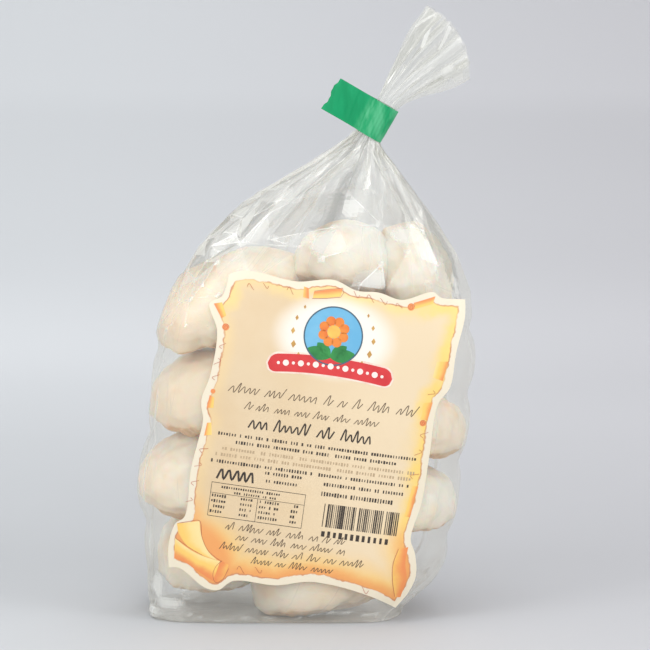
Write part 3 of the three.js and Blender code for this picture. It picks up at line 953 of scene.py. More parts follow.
def labelSpots(spots, standoff=0.0):
    # where a place on the label lies on the bag's front
    spots = np.asarray(spots, dtype=float)
    u, v = spots[..., 0], spots[..., 1]
    tilt = math.radians(label["tilt"])
    x = label["middle"][0] + u * math.cos(tilt) + v * math.sin(tilt)
    z = label["middle"][1] - u * math.sin(tilt) + v * math.cos(tilt)
    sx, halfWidth, halfDepth, square, pleat = (
        np.interp(z, frontSections[:, 1], frontSections[:, k]) for k in (0, 2, 3, 5, 6))
    across = np.abs((x - sx) / halfWidth)
    across = -np.log(np.exp(-40 * across) + math.exp(-40 * label["flatShare"])) / 40
    across = np.clip(across, 0, 1)
    depth = halfDepth * (1 + pleat) * (1 - across**square) ** (1 / square)
    ripple = label["ripple"] * np.sin(u / 9 + v / 17) * np.sin(v / 12 - u / 23 + 1)
    return np.stack([x, -depth - label["front"] - ripple - standoff, z], axis=-1)


labelOutline = {
    "left": [
        (-47, -56.6), (-48.2, -48), (-46.7, -39), (-43.7, -35.9), (-43.6, -17), (-42.4, -6),
        (-41.6, 2), (-43.3, 9.3), (-41.3, 19), (-41, 36.4), (-45.2, 45.7), (-40.8, 49.4), (-39.3, 57.6),
    ],
    "right": [
        (40.6, -60.6), (44.4, -54.1), (46.4, -47), (44.8, -38.2), (42.3, -32.4), (44.4, -18),
        (44.7, 0.5), (45, 19.8), (48.7, 26.8), (49.2, 40), (50.6, 53.5), (49.8, 60.2),
    ],
    "bottom": [
        (-47, -56.6), (-42.9, -56), (-32.2, -61.9), (-27.2, -62), (-22.1, -57.6), (-5.8, -57),
        (6.4, -53.9), (19.5, -54.5), (32.1, -57.2), (40.6, -60.6),
    ],
    "top": [
        (-39.3, 57.6), (-34.7, 59.7), (-27.2, 60), (-14.3, 58.8), (-0.3, 61.3), (8.8, 58.6),
        (17, 59), (25.9, 57.4), (37.4, 61.5), (40.5, 59.7), (49.8, 60.2),
    ],
}


def smoothLine(corners, count):
    # an even walk along a centripetal curve through the corners
    corners = [np.array(c, dtype=float) for c in corners]
    padded = [2 * corners[0] - corners[1]] + corners + [2 * corners[-1] - corners[-2]]
    walk = []
    for p0, p1, p2, p3 in zip(padded, padded[1:], padded[2:], padded[3:]):
        t0 = 0.0
        t1 = t0 + max(np.linalg.norm(p1 - p0), 1e-6) ** 0.5
        t2 = t1 + max(np.linalg.norm(p2 - p1), 1e-6) ** 0.5
        t3 = t2 + max(np.linalg.norm(p3 - p2), 1e-6) ** 0.5
        for t in np.linspace(t1, t2, 24, endpoint=False):
            a1 = (t1 - t) / (t1 - t0) * p0 + (t - t0) / (t1 - t0) * p1
            a2 = (t2 - t) / (t2 - t1) * p1 + (t - t1) / (t2 - t1) * p2
            a3 = (t3 - t) / (t3 - t2) * p2 + (t - t2) / (t3 - t2) * p3
            b1 = (t2 - t) / (t2 - t0) * a1 + (t - t0) / (t2 - t0) * a2
            b2 = (t3 - t) / (t3 - t1) * a2 + (t - t1) / (t3 - t1) * a3
            walk.append((t2 - t) / (t2 - t1) * b1 + (t - t1) / (t2 - t1) * b2)
    walk = np.array(walk + [corners[-1]])
    walked = np.concatenate([[0], np.cumsum(np.linalg.norm(np.diff(walk, axis=0), axis=1))])
    even = np.linspace(0, walked[-1], count)
    return np.stack([np.interp(even, walked, walk[:, k]) for k in range(walk.shape[1])], axis=-1)


def distanceToLine(spots, line):
    starts, ends = line[:-1], line[1:]
    best = np.full(len(spots), 1e9)
    for a, b in zip(starts, ends):
        ab = b - a
        t = np.clip(((spots - a) @ ab) / max(ab @ ab, 1e-9), 0, 1)
        best = np.minimum(best, np.linalg.norm(spots - (a + t[:, None] * ab), axis=1))
    return best


def labelSheet():
    columns, rows = label["across"] + 1, label["up"] + 1
    left, right = smoothLine(labelOutline["left"], rows), smoothLine(labelOutline["right"], rows)
    bottom, top = smoothLine(labelOutline["bottom"], columns), smoothLine(labelOutline["top"], columns)
    s = np.linspace(0, 1, columns)[None, :, None]
    t = np.linspace(0, 1, rows)[:, None, None]
    spots = (bottom[None] * (1 - t) + top[None] * t + left[:, None] * (1 - s) + right[:, None] * s
             - bottom[0] * (1 - s) * (1 - t) - bottom[-1] * s * (1 - t)
             - top[0] * (1 - s) * t - top[-1] * s * t)
    outline = np.concatenate([bottom, right, top[::-1], left[::-1]])
    flatSpots = spots.reshape(-1, 2)
    piece = meshPiece("labelSheet", labelSpots(flatSpots), gridFaces(rows, columns, False), parchmentPaper())
    addAttribute(piece, "edge", distanceToLine(flatSpots, outline))
    addAttribute(piece, "u", flatSpots[:, 0])
    addAttribute(piece, "v", flatSpots[:, 1])
    return thickened(piece, label["thickness"])


# ---- Geometry Nodes for what repeats or follows a rule
def shapeNodes(name, numbers):
    nodes = Nodes(bpy.data.node_groups.new(name, "GeometryNodeTree"), OUTPUT={"Geometry": "Geometry"},
                  INPUT={**{key: "Int" if key == "Seed" else "Float" for key in numbers.split()},
                         "Material": "Material"})
    return nodes, nodes.given


def closed(nodes, geometry):
    real = nodes.value("GeometryNodeRealizeInstances", {0: geometry})
    dressed = nodes.value("GeometryNodeSetMaterial", {"Geometry": real, "Material": nodes.given["Material"]})
    nodes.add("NodeGroupOutput", {0: dressed})
    return nodes.tree


def treeMesh(name, tree, values):
    holder = linked(name, bpy.data.meshes.new(name))
    modifier = holder.modifiers.new("shape", "NODES")
    modifier.node_group = tree
    for item in tree.interface.items_tree:
        if item.in_out == "INPUT" and item.name in values:
            modifier[item.identifier] = values[item.name]
    mesh = evaluatedMesh(holder)
    empty = holder.data
    bpy.data.objects.remove(holder)
    bpy.data.meshes.remove(empty)
    return mesh


def bunTree():
    # a glazed bun: an oval dome on a flat baked foot, lumpy, with glaze pooled round its foot
    nodes, given = shapeNodes("glazedBun", "Length Width Height Lump Pattern")
    value, calc = nodes.value, nodes.math
    ball = value("GeometryNodeMeshUVSphere", {"Segments": 96, "Rings": 60, "Radius": 1.0}, "Mesh")
    x, y, z = nodes.axes(value("GeometryNodeInputPosition"))
    dome = calc("MAXIMUM", z, 0.0) ** 0.94 * 0.62
    fallen = calc("MAXIMUM", 1.0 + calc("MINIMUM", z, 0.0), 0.0) ** 1.45
    height = (dome + (fallen - 1.0) * 0.38) * given["Height"]
    place = value("ShaderNodeCombineXYZ", {
        0: x * (given["Length"] * 0.5), 1: y * (given["Width"] * 0.5), 2: height})
    shape = value("GeometryNodeSetPosition", {"Geometry": ball, "Position": place})

    def lumps(scale, detail, middle=0.5):
        noise = value("ShaderNodeTexNoise", {"W": given["Pattern"], "Scale": scale, "Detail": detail},
                      noise_dimensions="4D")
        return noise - middle

    share = nodes.axes(value("GeometryNodeInputPosition"))[2] / given["Height"]
    fromFoot = (share + 0.25) * 9.0
    pooled = calc("EXPONENT", fromFoot * fromFoot * -1.0) * (lumps(0.13, 2.0, 0.38) * 5.0)
    broad = lumps(0.045, 1.0) * given["Lump"]
    small = lumps(0.14, 2.0) * (given["Lump"] * 0.6)
    out = value("GeometryNodeInputNormal")
    offset = value("ShaderNodeVectorMath", {0: out, "Scale": broad + small + pooled}, operation="SCALE")
    shape = value("GeometryNodeSetPosition", {"Geometry": shape, "Offset": offset})
    ragged = lumps(0.22, 3.0) * 0.16
    baked = calc("ADD", (share + (0.275 + ragged)) * -8.0, 0.5, clamp=True)
    # how low a place lies on the cookie, for the painted warm shade on its lower half
    low = calc("ADD", (share + ragged * 2.0) * -1.9, 0.55, clamp=True)
    for name, marked in (("baked", baked), ("low", low)):
        shape = value("GeometryNodeStoreNamedAttribute", {"Geometry": shape, "Name": name, "Value": marked},
                      data_type="FLOAT", domain="POINT")
    return closed(nodes, value("GeometryNodeSetShadeSmooth", {"Geometry": shape}))


def printRowTree():
    # upright marks along a line, some left out: rows of fine print, or a pattern of bars
    nodes, given = shapeNodes("printRow", "Length Pitch Height Thin Thick Uneven Gaps Seed")
    value, pitch, height, seed = nodes.value, given["Pitch"], given["Height"], given["Seed"]
    count, step = nodes.math("FLOOR", given["Length"] / pitch), value("ShaderNodeCombineXYZ", {0: pitch})
    line = value("GeometryNodeMeshLine", {"Count": count, "Offset": step})
    gone = value("FunctionNodeRandomValue", {"Probability": given["Gaps"], "Seed": seed}, 3,
                 data_type="BOOLEAN")
    kept = value("GeometryNodeDeleteGeometry", {"Geometry": line, "Selection": gone})

    def between(least, most, drawn):
        return value("FunctionNodeRandomValue", {2: least, 3: most, "Seed": drawn}, 1, data_type="FLOAT")

    wide = between(given["Thin"] * pitch, given["Thick"] * pitch, seed + 1)
    tall = between(height * (1.0 - given["Uneven"]), height * (1.0 + given["Uneven"]), seed + 2)
    mark = value("GeometryNodeMeshGrid", {"Size X": 1.0, "Size Y": 1.0, "Vertices X": 2, "Vertices Y": 3},
                 "Mesh")
    size = value("ShaderNodeCombineXYZ", {0: wide, 1: tall, 2: 1.0})
    marks = value("GeometryNodeInstanceOnPoints", {"Points": kept, "Instance": mark, "Scale": size})
    return closed(nodes, marks)


# ---- what is printed on the label
class Print:
    # flat shapes in label millimetres, gathered into one printed piece
    def __init__(self):
        self.spots = []
        self.faces = []
        self.across = []

    def grid(self, spots, across=0.5, closed=False):
        spots = np.asarray(spots, dtype=float)
        rows, columns = spots.shape[:2]
        start = len(self.spots)
        self.spots += spots.reshape(-1, 2).tolist()
        self.across += np.broadcast_to(across, (rows, columns)).ravel().tolist()
        self.faces += [[start + k for k in face] for face in gridFaces(rows, columns, closed)]

    def filled(self, outline, rings=3):
        # an outline, counter-clockwise, filled towards its middle
        outline = np.asarray(outline, dtype=float)
        middle = outline.mean(axis=0)
        sizes = np.linspace(1, 0.02, rings + 1)
        rows = np.array([middle + (outline - middle) * size for size in sizes])
        start = len(self.spots)
        self.grid(rows, closed=True)
        last = start + rings * len(outline)
        self.faces.append([last + k for k in range(len(outline))])

    def disc(self, middle, radius, segments=48, rings=4):
        turn = np.arange(segments) / segments * 2 * math.pi
        rim = np.stack([middle[0] + radius * np.cos(turn), middle[1] + radius * np.sin(turn)], axis=-1)
        self.filled(rim, rings)

    def line(self, path, width, closed=False):
        path = np.asarray(path, dtype=float)
        along = np.roll(path, -1, axis=0) - np.roll(path, 1, axis=0) if closed else np.gradient(path, axis=0)
        along /= np.maximum(np.linalg.norm(along, axis=1, keepdims=True), 1e-9)
        side = np.stack([-along[:, 1], along[:, 0]], axis=-1) * width / 2
        if closed:
            side = -side
        self.grid([path - side, path + side], closed=closed)

    def box(self, u0, v0, u1, v1):
        columns = max(2, int(abs(u1 - u0) / 3) + 1)
        u = np.linspace(u0, u1, columns)
        self.grid([np.stack([u, np.full(columns, v)], axis=-1) for v in (v0, v1)])

    def row(self, middle, mesh):
        # marks made by the print row tree, put down from their left end
        start = len(self.spots)
        self.spots += [[middle[0] + p.co.x, middle[1] + p.co.y] for p in mesh.vertices]
        self.across += [0.5] * len(mesh.vertices)
        self.faces += [[start + k for k in face.vertices] for face in mesh.polygons]
        bpy.data.meshes.remove(mesh)

    def piece(self, name, material, standoff=0.05, keepAcross=False):
        made = meshPiece(name, labelSpots(self.spots, standoff), self.faces, material)
        if keepAcross:
            addAttribute(made, "across", self.across)
        return thickened(made, 0.03)


def penWaves(sheet, start, end, v, height, stroke, seed, slant=0.4, uneven=0.35):
    # a row of plain pen waves in groups, up and down by uneven amounts
    rng = random.Random(seed)
    u = start
    while u < end - 2.5 * height:
        path = []
        for k in range(rng.randint(4, 12)):
            up = k % 2
            v0 = (0.5 if up else -0.5) * height * (1 - uneven * rng.random())
            if up and rng.random() < 0.2:
                v0 = 0.95 * height
            path.append((u + slant * (v0 + height / 2), v + v0))
            u += height * rng.uniform(0.26, 0.42)
            if u > end:
                break
        sheet.line(smoothLine(path, 6 * len(path)), stroke)
        u += height * rng.uniform(0.5, 0.75)


def labelPrint():
    rowTree = printRowTree()
    brown = ink("brownInk", (84, 66, 50), (112, 92, 70))
    black = ink("blackInk", (52, 44, 38), (78, 68, 58))
    pale = ink("paleInk", (196, 172, 138), (176, 150, 118))
    pieces = []

    def marks(sheet, start, end, v, height, seed, pitch=1.02, thin=0.3, thick=0.72, uneven=0.24, gaps=0.15):
        sheet.row((start, v), treeMesh("marks", rowTree, {
            "Length": float(end - start), "Pitch": float(pitch), "Height": float(height), "Thin": thin,
            "Thick": thick, "Uneven": uneven, "Gaps": gaps, "Seed": seed, "Material": black}))

    fancy = Print()
    for seed, (start, end, v, height, stroke) in enumerate((
            (-34, 37.5, 15.7, 2.9, 0.27), (-27, 30.5, 9.7, 2.2, 0.25), (-28, 22, -37.0, 2.3, 0.25),
            (-23.5, 24, -40.8, 2.2, 0.25), (-29, 29.5, -44.9, 2.2, 0.25), (-16.5, 17.5, -48.9, 2.0, 0.24))):
        penWaves(fancy, start, end, v, height, stroke, 30 + seed)
    pieces.append(fancy.piece("printedWaves", brown))

    bold = Print()
    penWaves(bold, -24.5, 31, 3.3, 3.3, 0.55, 51, 0.15, 0.2)
    penWaves(bold, -33.6, -17.5, -17.0, 4.0, 0.75, 64, 0.05, 0.1)
    pieces.append(bold.piece("printedHeading", black))

    rows = Print()
    for seed, (start, end, v, height) in enumerate((
            (-35, 41, -1.7, 1.1), (-28, 35, -4.3, 1.1), (-37.3, 42, -12.3, 1.15), (-15.5, 0, -14.4, 1.1),
            (-14.8, -1, -17.4, 1.1), (7, 38.5, -15.6, 1.2), (6.5, 35, -19.3, 1.45))):
        marks(rows, start, end, v, height, 3 * seed + 5)
    for line in range(4):
        for start, end, seed in ((-34.2, -28, 60), (-23.2, -18.2, 70), (-16, -7.5, 80), (-3.9, -0.3, 90)):
            marks(rows, start, end, -25.6 - 2.05 * line, 0.95, seed + line, 0.95)
    marks(rows, -31, -8, -22.0, 0.85, 95, 0.9)
    marks(rows, -26, -9, -23.7, 0.85, 96, 0.9)
    for box in ((-35.2, -20.7, 0.6, -20.5), (-35.2, -24.7, 0.6, -24.55), (-35.2, -33.7, 0.6, -33.5)):
        rows.box(*box)
    for u, top in ((-35.2, -20.6), (-17.2, -24.6), (0.45, -20.6)):
        rows.grid([[(u, v), (u + 0.16, v)] for v in np.linspace(-33.6, top, 5)])
    marks(rows, 8.3, 37.5, -27.4, 9.0, 41, 0.74, 0.22, 0.95, 0.0, 0.08)
    marks(rows, 9, 37, -34.6, 2.3, 44, 2.2, 0.4, 0.6, 0.1, 0.0)
    pieces.append(rows.piece("printedRows", black))

    faint = Print()
    for seed, (start, end, v) in enumerate(((-33.8, 41, -7.2), (-35, 40, -9.6))):
        marks(faint, start, end, v, 1.1, 101 + 3 * seed, 1.05, 0.3, 0.7)
    pieces.append(faint.piece("printedFaintRows", pale))

    # the round picture: a pale blue disc, an eight-petalled biscuit flower and two leaves
    middle = np.array((2.4, 40.6))
    rim = Print()
    turn = np.linspace(0, 2 * math.pi, 64, endpoint=False)
    circle = np.stack([np.cos(turn), np.sin(turn)], axis=-1)
    rim.line(middle + 10.9 * circle, 0.5, closed=True)
    pieces.append(rim.piece("pictureRim", ink("slateInk", (70, 104, 124), (50, 78, 98)), 0.08))
    disc = Print()
    disc.disc(middle, 10.9, 64, 5)
    pieces.append(disc.piece("pictureDisc", ink("skyInk", (104, 178, 218), (128, 194, 226), 0.7, 120)))
    leaves = Print()
    for side in (-1, 1):
        for lean, length, width in ((0.35, 9.5, 2.5), (1.05, 7.5, 2.2)):
            t = np.linspace(0, 1, 14)
            swell = width * np.sin(math.pi * t) ** 0.8
            along = length * t
            shape = np.concatenate([np.stack([along, -swell], -1), np.stack([along[::-1], swell[::-1]], -1)])
            angle = lean * 0.7 if side > 0 else math.pi - lean * 0.7
            leaves.filled(middle + np.array((0, -8.2)) + turned(shape, angle), 2)
    leafInk = ink("leafInk", (52, 150, 72), (28, 112, 56), 0.9, 160)
    pieces.append(leaves.piece("pictureLeaves", leafInk, 0.1))
    flower = Print()
    heart = middle + np.array((0, 1.6))
    for k in range(8):
        angle = k * math.pi / 4 + math.pi / 8
        outward = np.array((math.cos(angle), math.sin(angle)))
        flower.filled(heart + outward * 4.1 + circle[::3] * 1.85, 2)
    orangeInk = ink("orangeInk", (244, 150, 60), (226, 104, 48), 0.9, 160)
    pieces.append(flower.piece("pictureFlower", orangeInk, 0.13))
    centre = Print()
    centre.disc(heart, 2.5, 32, 2)
    goldInk = ink("goldInk", (250, 200, 96), (232, 160, 60), 0.8, 200)
    pieces.append(centre.piece("pictureHeart", goldInk, 0.16))

    # gold lozenges beside it, in a bow, smaller upwards
    lozenges = Print()
    for side in (-1, 1):
        for k in range(5):
            angle = math.radians(-38 + 19 * k)
            spot = middle + np.array((side * math.cos(angle), math.sin(angle))) * 15.2
            size = 1.75 - 0.24 * k
            rhomb = [(0.62 * size, 0), (0, size), (-0.62 * size, 0), (0, -size)]
            lozenges.filled(spot + straightSided(rhomb), 1)
    strawInk = ink("strawInk", (212, 168, 92), (186, 138, 66), 0.9, 300)
    pieces.append(lozenges.piece("pictureLozenges", strawInk, 0.06))

    # the red band below it, plain and bowed, with round ends and a row of pale dots
    bandMiddle = np.array((3.0, 27.4))
    bandBow = 1.8
    u = np.linspace(-1, 1, 61)

    def bandShape(halfLength, halfHeight):
        pastRound = np.maximum(0, np.abs(u) * halfLength - halfLength + halfHeight)
        half = halfHeight * np.sqrt(np.clip(1 - pastRound**2 / halfHeight**2, 0.001, 1))
        bow = bandBow * (1 - u**2)
        return [np.stack([u * halfLength, bow + way * half], axis=-1) + bandMiddle for way in (-1, 1)]

    rimBand = Print()
    rimBand.grid(bandShape(24.2, 4.1))
    pieces.append(rimBand.piece("bandEdge", ink("bandEdgeInk", (248, 232, 216), (226, 160, 140), 0.4), 0.05))
    band = Print()
    band.grid(bandShape(23.5, 3.4))
    pieces.append(band.piece("band", ink("redInk", (222, 60, 62), (204, 44, 50), 0.7, 140), 0.08))
    dots = Print()
    for k in range(15):
        u0 = -19.6 + 2.8 * k
        spot = bandMiddle + (u0, bandBow * (1 - (u0 / 23.5) ** 2))
        dots.disc(spot, 1.15 if k % 2 else 0.6, 16, 1)
    pieces.append(dots.piece("bandDots", ink("paleDotInk", (252, 240, 232), (240, 214, 204), 0.5), 0.12))
    return pieces + parchmentRolls()


def straightSided(corners):
    # a closed outline, each of its sides cut into steps
    corners = np.asarray(corners, dtype=float)
    return np.array([a + (b - a) * t for a, b in zip(corners, np.roll(corners, -1, axis=0))
                     for t in np.linspace(0, 1, 5, endpoint=False)])


def turned(spots, angle):
    c, s = math.cos(angle), math.sin(angle)
    return spots @ np.array(((c, s), (-s, c)))


def parchmentRolls():
    # the printed parchment's rolled corners, rolled tears and little curls
    rolls = Print()

    def roll(first, second, low, high, count=16, wide=5):
        first, second = smoothLine(first, count), smoothLine(second, count)
        share = np.linspace(0, 1, wide)
        spots = [[a + (b - a) * s for s in share] for a, b in zip(first, second)]
        rolls.grid(spots, np.broadcast_to(low + (high - low) * share, (count, wide)))

    roll([(-46.1, -38.9), (-45.0, -42.5), (-40.5, -47.2), (-33.9, -49.6)],
         [(-37.8, -36.4), (-36.1, -42.5), (-33.0, -47.5), (-29.2, -50.4)], 0.55, -0.1)
    roll([(-46.1, -44.7), (-39.9, -48.0), (-33.9, -49.8), (-28.0, -50.6)][::-1],
         [(-45.4, -52.7), (-41.4, -53.2), (-36.1, -55.8), (-29.6, -58.8)][::-1], 0.05, 1.0)
    roll([(-27.0, -50.6), (-29.0, -53.0), (-30.0, -56.0), (-28.6, -59.0)][::-1],
         [(-24.6, -51.6), (-25.0, -53.8), (-25.6, -56.4), (-26.8, -58.6)][::-1], 1.0, 0.7)
    roll([(38.4, -36.7), (37.2, -42.6), (37.8, -48.8), (39.8, -56.2)][::-1],
         [(41.8, -35.7), (41.6, -42.0), (43.0, -48.1), (41.8, -56.0)][::-1], 0.6, 1.0)
    roll([(-7.2, 53.6), (-2.0, 54.4), (3.0, 55.6)], [(-7.0, 56.0), (-2.0, 57.4), (3.4, 58.6)], 0.35, 1.0, 10)
    roll([(31.2, 54.6), (37.8, 57.2)], [(30.6, 56.8), (38.4, 60.0)], 0.4, 1.0, 8)
    roll([(-43.6, 46.0), (-40.0, 41.2)], [(-40.6, 47.0), (-38.4, 42.4)], 0.95, 0.4, 8)
    roll([(41.6, 30.0), (42.4, 36.0)], [(45.6, 29.0), (46.6, 36.4)], 0.1, 0.9, 8)
    roll([(38.8, 14.0), (39.4, 20.0)], [(42.0, 13.6), (43.0, 20.6)], 0.2, 0.9, 8)
    roll([(-40.9, 7.0), (-40.4, 12.0)], [(-38.4, 7.4), (-38.6, 11.2)], 1.0, 0.3, 8)
    roll([(-40.4, -3.6), (-40.0, 1.4)], [(-37.6, -2.8), (-38.4, 1.8)], 0.9, 0.2, 8)
    roll([(-10.8, 53.4), (-11.0, 57.4)][::-1], [(-8.6, 53.2), (-9.2, 57.0)][::-1], 0.6, 1.0, 6)
    roll([(38.6, -24.0), (40.0, -12.0)], [(40.8, -24.0), (42.2, -12.0)], 0.3, 0.95, 10)
    scrolls = [((29.8, 55.2), 1.35), ((-38.0, 38.2), 1.3), ((40.4, 12.4), 1.2)]
    for spot, radius in scrolls + [((-39.4, 13.6), 0.9)]:
        start = len(rolls.across)
        rolls.disc(spot, radius, 20, 2)
        rolls.across[start:] = [0.9] * (len(rolls.across) - start)
    rolled = rolls.piece("parchmentRolls", rolledPaper(), 0.06, keepAcross=True)

    edges = Print()
    edges.line(smoothLine([(-45.9, -38.8), (-42.0, -37.4), (-37.8, -36.3), (-36.0, -42.5), (-32.8, -47.5),
                           (-27.4, -50.8)], 40), 0.18)
    edges.line(smoothLine([(-46.1, -44.6), (-40.0, -47.4), (-35.0, -49.4)], 20), 0.15)
    edges.line(smoothLine([(-27.3, -50.3), (-29.3, -53.0), (-30.0, -56.5), (-28.5, -59.2), (-26.2, -57.6),
                           (-24.4, -53.0)], 30), 0.18)
    for spot, radius in scrolls:
        turn = np.linspace(0, 3.4 * math.pi, 40)
        size = radius * (1 - turn / (4.2 * math.pi))
        edges.line(np.stack([spot[0] + size * np.cos(turn), spot[1] + size * np.sin(turn)], axis=-1), 0.14)
    # small hooks and curls, as the torn border has them
    for u0, v0, degrees, size in (
            (-31, 54.6, 20, 1.6), (-25, 55.4, 200, 1.3), (-16, 55.4, 10, 1.7), (9, 56.9, 190, 1.6),
            (14, 56.6, 15, 1.9), (19.5, 55.8, 200, 1.7), (25, 55.2, 30, 1.5), (-38.4, 31, 100, 1.5),
            (-39.0, 25, 280, 1.7), (-39.4, 19, 95, 1.6), (-40.2, -9, 80, 1.8), (-40.9, -15, 265, 1.5),
            (-41.8, -22, 90, 1.7), (-42.4, -29, 270, 1.4), (42.4, 24, 260, 1.5), (41.2, 8, 90, 1.7),
            (40.6, 1, 275, 1.6), (39.8, -8, 80, 1.8), (-20, -52.6, 15, 1.9), (-13, -52.2, 200, 1.7),
            (28, -54.6, 190, 1.9)):
        turn = np.linspace(0, 1.5 * math.pi, 16)
        curl = np.stack([size * (turn / 3.4 - 0.7), 0.42 * size * np.sin(turn) * (1 + 0.3 * turn)], axis=-1)
        edges.line(turned(curl, math.radians(degrees)) + (u0, v0), 0.16)
    edges.line([(-7.4, 53.4), (-2.0, 54.2), (3.2, 55.4), (4.0, 57.2), (3.4, 58.8), (-2.0, 57.6),
                (-7.0, 56.2)], 0.15)
    edges.line(smoothLine([(38.2, -36.8), (37.0, -42.6), (37.6, -48.8), (39.6, -56.0)], 24), 0.16)
    rustInk = ink("rustInk", (200, 112, 84), (176, 96, 66), 0.8)
    return [rolled, edges.piece("parchmentRollEdges", rustInk, 0.1)]


# ---- the tape
def tapeStrip():
    # one strip round the neck, its two ends stuck together as a flag
    halfWidth, halfDepth = tape["loop"]
    flagEnd = -halfWidth - tape["flag"]
    half = tape["thickness"] / 2 + 0.01
    front = [(flagEnd, -half), (-15, -half), (-9.6, -half), (-6.6, -0.7), (-3.6, -halfDepth * 0.78),
             (0, -halfDepth), (halfWidth * 0.72, -halfDepth * 0.72), (halfWidth, 0)]
    path = smoothLine(front + [(a, -y) for a, y in front[-2::-1]], 170)
    rows = 30
    width = np.linspace(-0.5, 0.5, rows)
    a = np.repeat(path[None, :, 0], rows, axis=0)
    y = np.repeat(path[None, :, 1], rows, axis=0)
    w = np.repeat(width[:, None], len(path), axis=1)
    flagShare = np.clip((-9.0 - a) / (-9.0 - flagEnd), 0, 1)
    tooth = tape["toothDepth"] * np.cos(2 * math.pi * tape["teeth"] * (w + 0.5)) + 0.12 * np.sin(31 * w)
    a = a - tooth * flagShare
    overNeck = smoothStep(a, -7.6, -5.2)
    # the flag's slight curl and its creases, the same on both layers
    curl = 0.9 * flagShare**2 * (0.4 + w) + 0.35 * np.sin(a / 2.6 + 2 * w) * smoothStep(-a, 7, 12)
    crease = -0.3 * np.clip(1 - np.abs(a + 11.2 + 2.2 * w) / 0.9, 0, 1)
    y = y + curl + crease
    ridge = 0.13 * overNeck * triangleWave(np.arctan2(y, a) * 2.9 + 0.5 * w)
    a = a * (1 + ridge / halfWidth)
    y = y * (1 + ridge / halfDepth * overNeck)
    points = besideTape(a, y, w * tape["width"])
    piece = meshPiece("tapeStrip", points.reshape(-1, 3), gridFaces(rows, len(path), False), greenTape())
    addAttribute(piece, "overNeck", overNeck)
    return thickened(piece, tape["thickness"], 0.0)


# ---- the cookies
def pressInside(mesh):
    # a cookie's front and back are held behind the film; its ends may swell the sides a little
    spots = np.empty(len(mesh.vertices) * 3, dtype=np.float32)
    mesh.vertices.foreach_get("co", spots)
    spots = spots.reshape(-1, 3).astype(float) / mm - shift
    sx, halfWidth, halfDepth, square = (
        np.interp(spots[:, 2], frontSections[:, 1], frontSections[:, k]) for k in (0, 2, 3, 5))
    u = np.clip(np.abs(spots[:, 0] - sx) / (halfWidth + 1), 0, 0.999)
    deepest = (halfDepth - 1.1) * (1 - u**square) ** (1 / square)
    # the last bit before the film is pressed flatter rather than cut off
    soft = np.minimum(4.0, deepest * 0.3)
    over = np.abs(spots[:, 1]) - (deepest - soft)
    held = deepest - soft + soft * np.tanh(np.maximum(over, 0) / np.maximum(soft, 1e-3))
    spots[:, 1] = np.where(over > 0, np.sign(spots[:, 1]) * held, spots[:, 1])
    spots[:, 0] = np.clip(spots[:, 0], sx - halfWidth - 0.6, sx + halfWidth + 0.6)
    spots[:, 2] = np.maximum(spots[:, 2], 0.6)
    mesh.vertices.foreach_set("co", ((spots + shift) * mm).astype(np.float32).ravel())
    mesh.update()


def bakedCookies():
    tree = bunTree()
    glaze = glazedCookie()
    pieces = []
    lumpiest = ("cookieRightMiddle", "cookieRightLower")
    for k, (name, (middle, size, turns)) in enumerate(cookies.items()):
        mesh = treeMesh(name, tree, {
            "Length": float(size[0]), "Width": float(size[1]), "Height": float(size[2]),
            "Lump": 8.5 if name in lumpiest else 5.6, "Pattern": 3.7 * k + 1, "Material": glaze})
        turn = Euler([math.radians(t) for t in turns], "XYZ").to_matrix().to_4x4()
        moved = Matrix.Translation((Vector(middle) + Vector(shift)) * mm)
        mesh.transform(moved @ turn @ Matrix.Scale(mm, 4))
        pressInside(mesh)
        mesh.name = name
        pieces.append(linked(name, mesh))
    return pieces


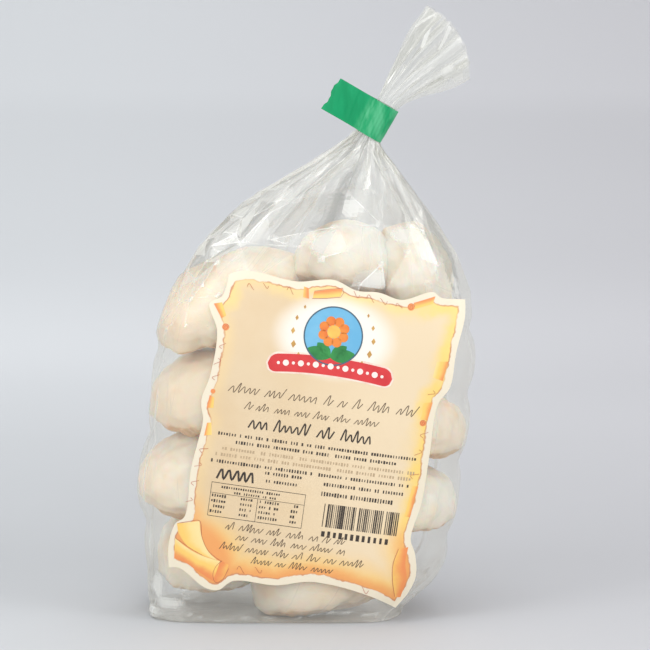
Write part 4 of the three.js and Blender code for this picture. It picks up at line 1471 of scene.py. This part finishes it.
# ---- floor, light and camera
def studio():
    # a sweep: floor in front, a round bend, and a wall
    bend = np.linspace(0, math.pi / 2, 24)
    back, radius = 0.55, 0.5
    profile = [(-4, 0), (-0.5, 0), (0.1, 0)]
    profile += [(back + radius * math.sin(a), radius - radius * math.cos(a)) for a in bend]
    profile += [(back + radius, 1.2), (back + radius, 2.4)]
    columns = (-2.5, -0.8, 0, 0.8, 2.5)
    points = np.array([(x, y, z - 0.0002) for y, z in profile for x in columns])
    smoothMesh("backdrop", points, gridFaces(len(profile), len(columns), False), studioPaper())

    target = Vector((0, 0, 0.11))
    lights = {
        "keyLeft": ((-0.75, -0.55, 0.62), (0.42, 0.75), 3.15),
        "fillRight": ((0.8, -0.5, 0.45), (0.3, 0.8), 2.4),
        "topBox": ((0.05, -0.1, 1.05), (0.7, 0.5), 2.8),
        "frontHigh": ((0.25, -1.3, 0.75), (0.5, 0.4), 3.0),
        "frontLow": ((-0.15, -1.3, 0.28), (0.9, 0.3), 1.2),
        "backRim": ((0.25, 0.55, 0.62), (0.5, 0.25), 0.8),
    }
    for name, (place, size, power) in lights.items():
        lamp = bpy.data.lights.new(name, "AREA")
        lamp.shape = "RECTANGLE"
        lamp.size, lamp.size_y = size
        lamp.energy = power
        holder = linked(name, lamp)
        holder.location = place
        holder.rotation_euler = (target - Vector(place)).to_track_quat("-Z", "Y").to_euler()

    world = bpy.data.worlds.new("studio")
    world.use_nodes = True
    background = world.node_tree.nodes["Background"].inputs
    background["Color"].default_value = srgb(228, 229, 232)
    background["Strength"].default_value = 0.8
    scene.world = world
    scene.view_settings.view_transform = "Standard"
    scene.cycles.transparent_max_bounces = 48

    lookAt = (Vector(view["lookAt"]) + Vector((shift[0], shift[1], 0))) * mm
    rise = math.radians(view["elevation"])
    lens = bpy.data.cameras.new("camera")
    lens.lens = view["lens"]
    lens.sensor_width = 36
    eye = linked("camera", lens)
    eye.location = lookAt + Vector((0, -math.cos(rise), math.sin(rise))) * view["distance"] * mm
    eye.rotation_euler = (math.radians(90 - view["elevation"]), 0, 0)
    scene.camera = eye


studio()
print("studio and camera: done")
contents = bakedCookies()
print("cookies:", len(contents))
films = [bagFilm(contents), frillFilm()]
print("film:", [len(piece.data.polygons) for piece in films])
paper = [labelSheet()] + labelPrint()
print("label and print:", len(paper), "pieces")
strip = tapeStrip()
print("tape: done")

for piece in films + contents:
    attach(piece, "root")
    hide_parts("bag")
for piece in paper:
    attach(piece, "root")
    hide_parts("label")
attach(strip, "root")
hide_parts("tape")
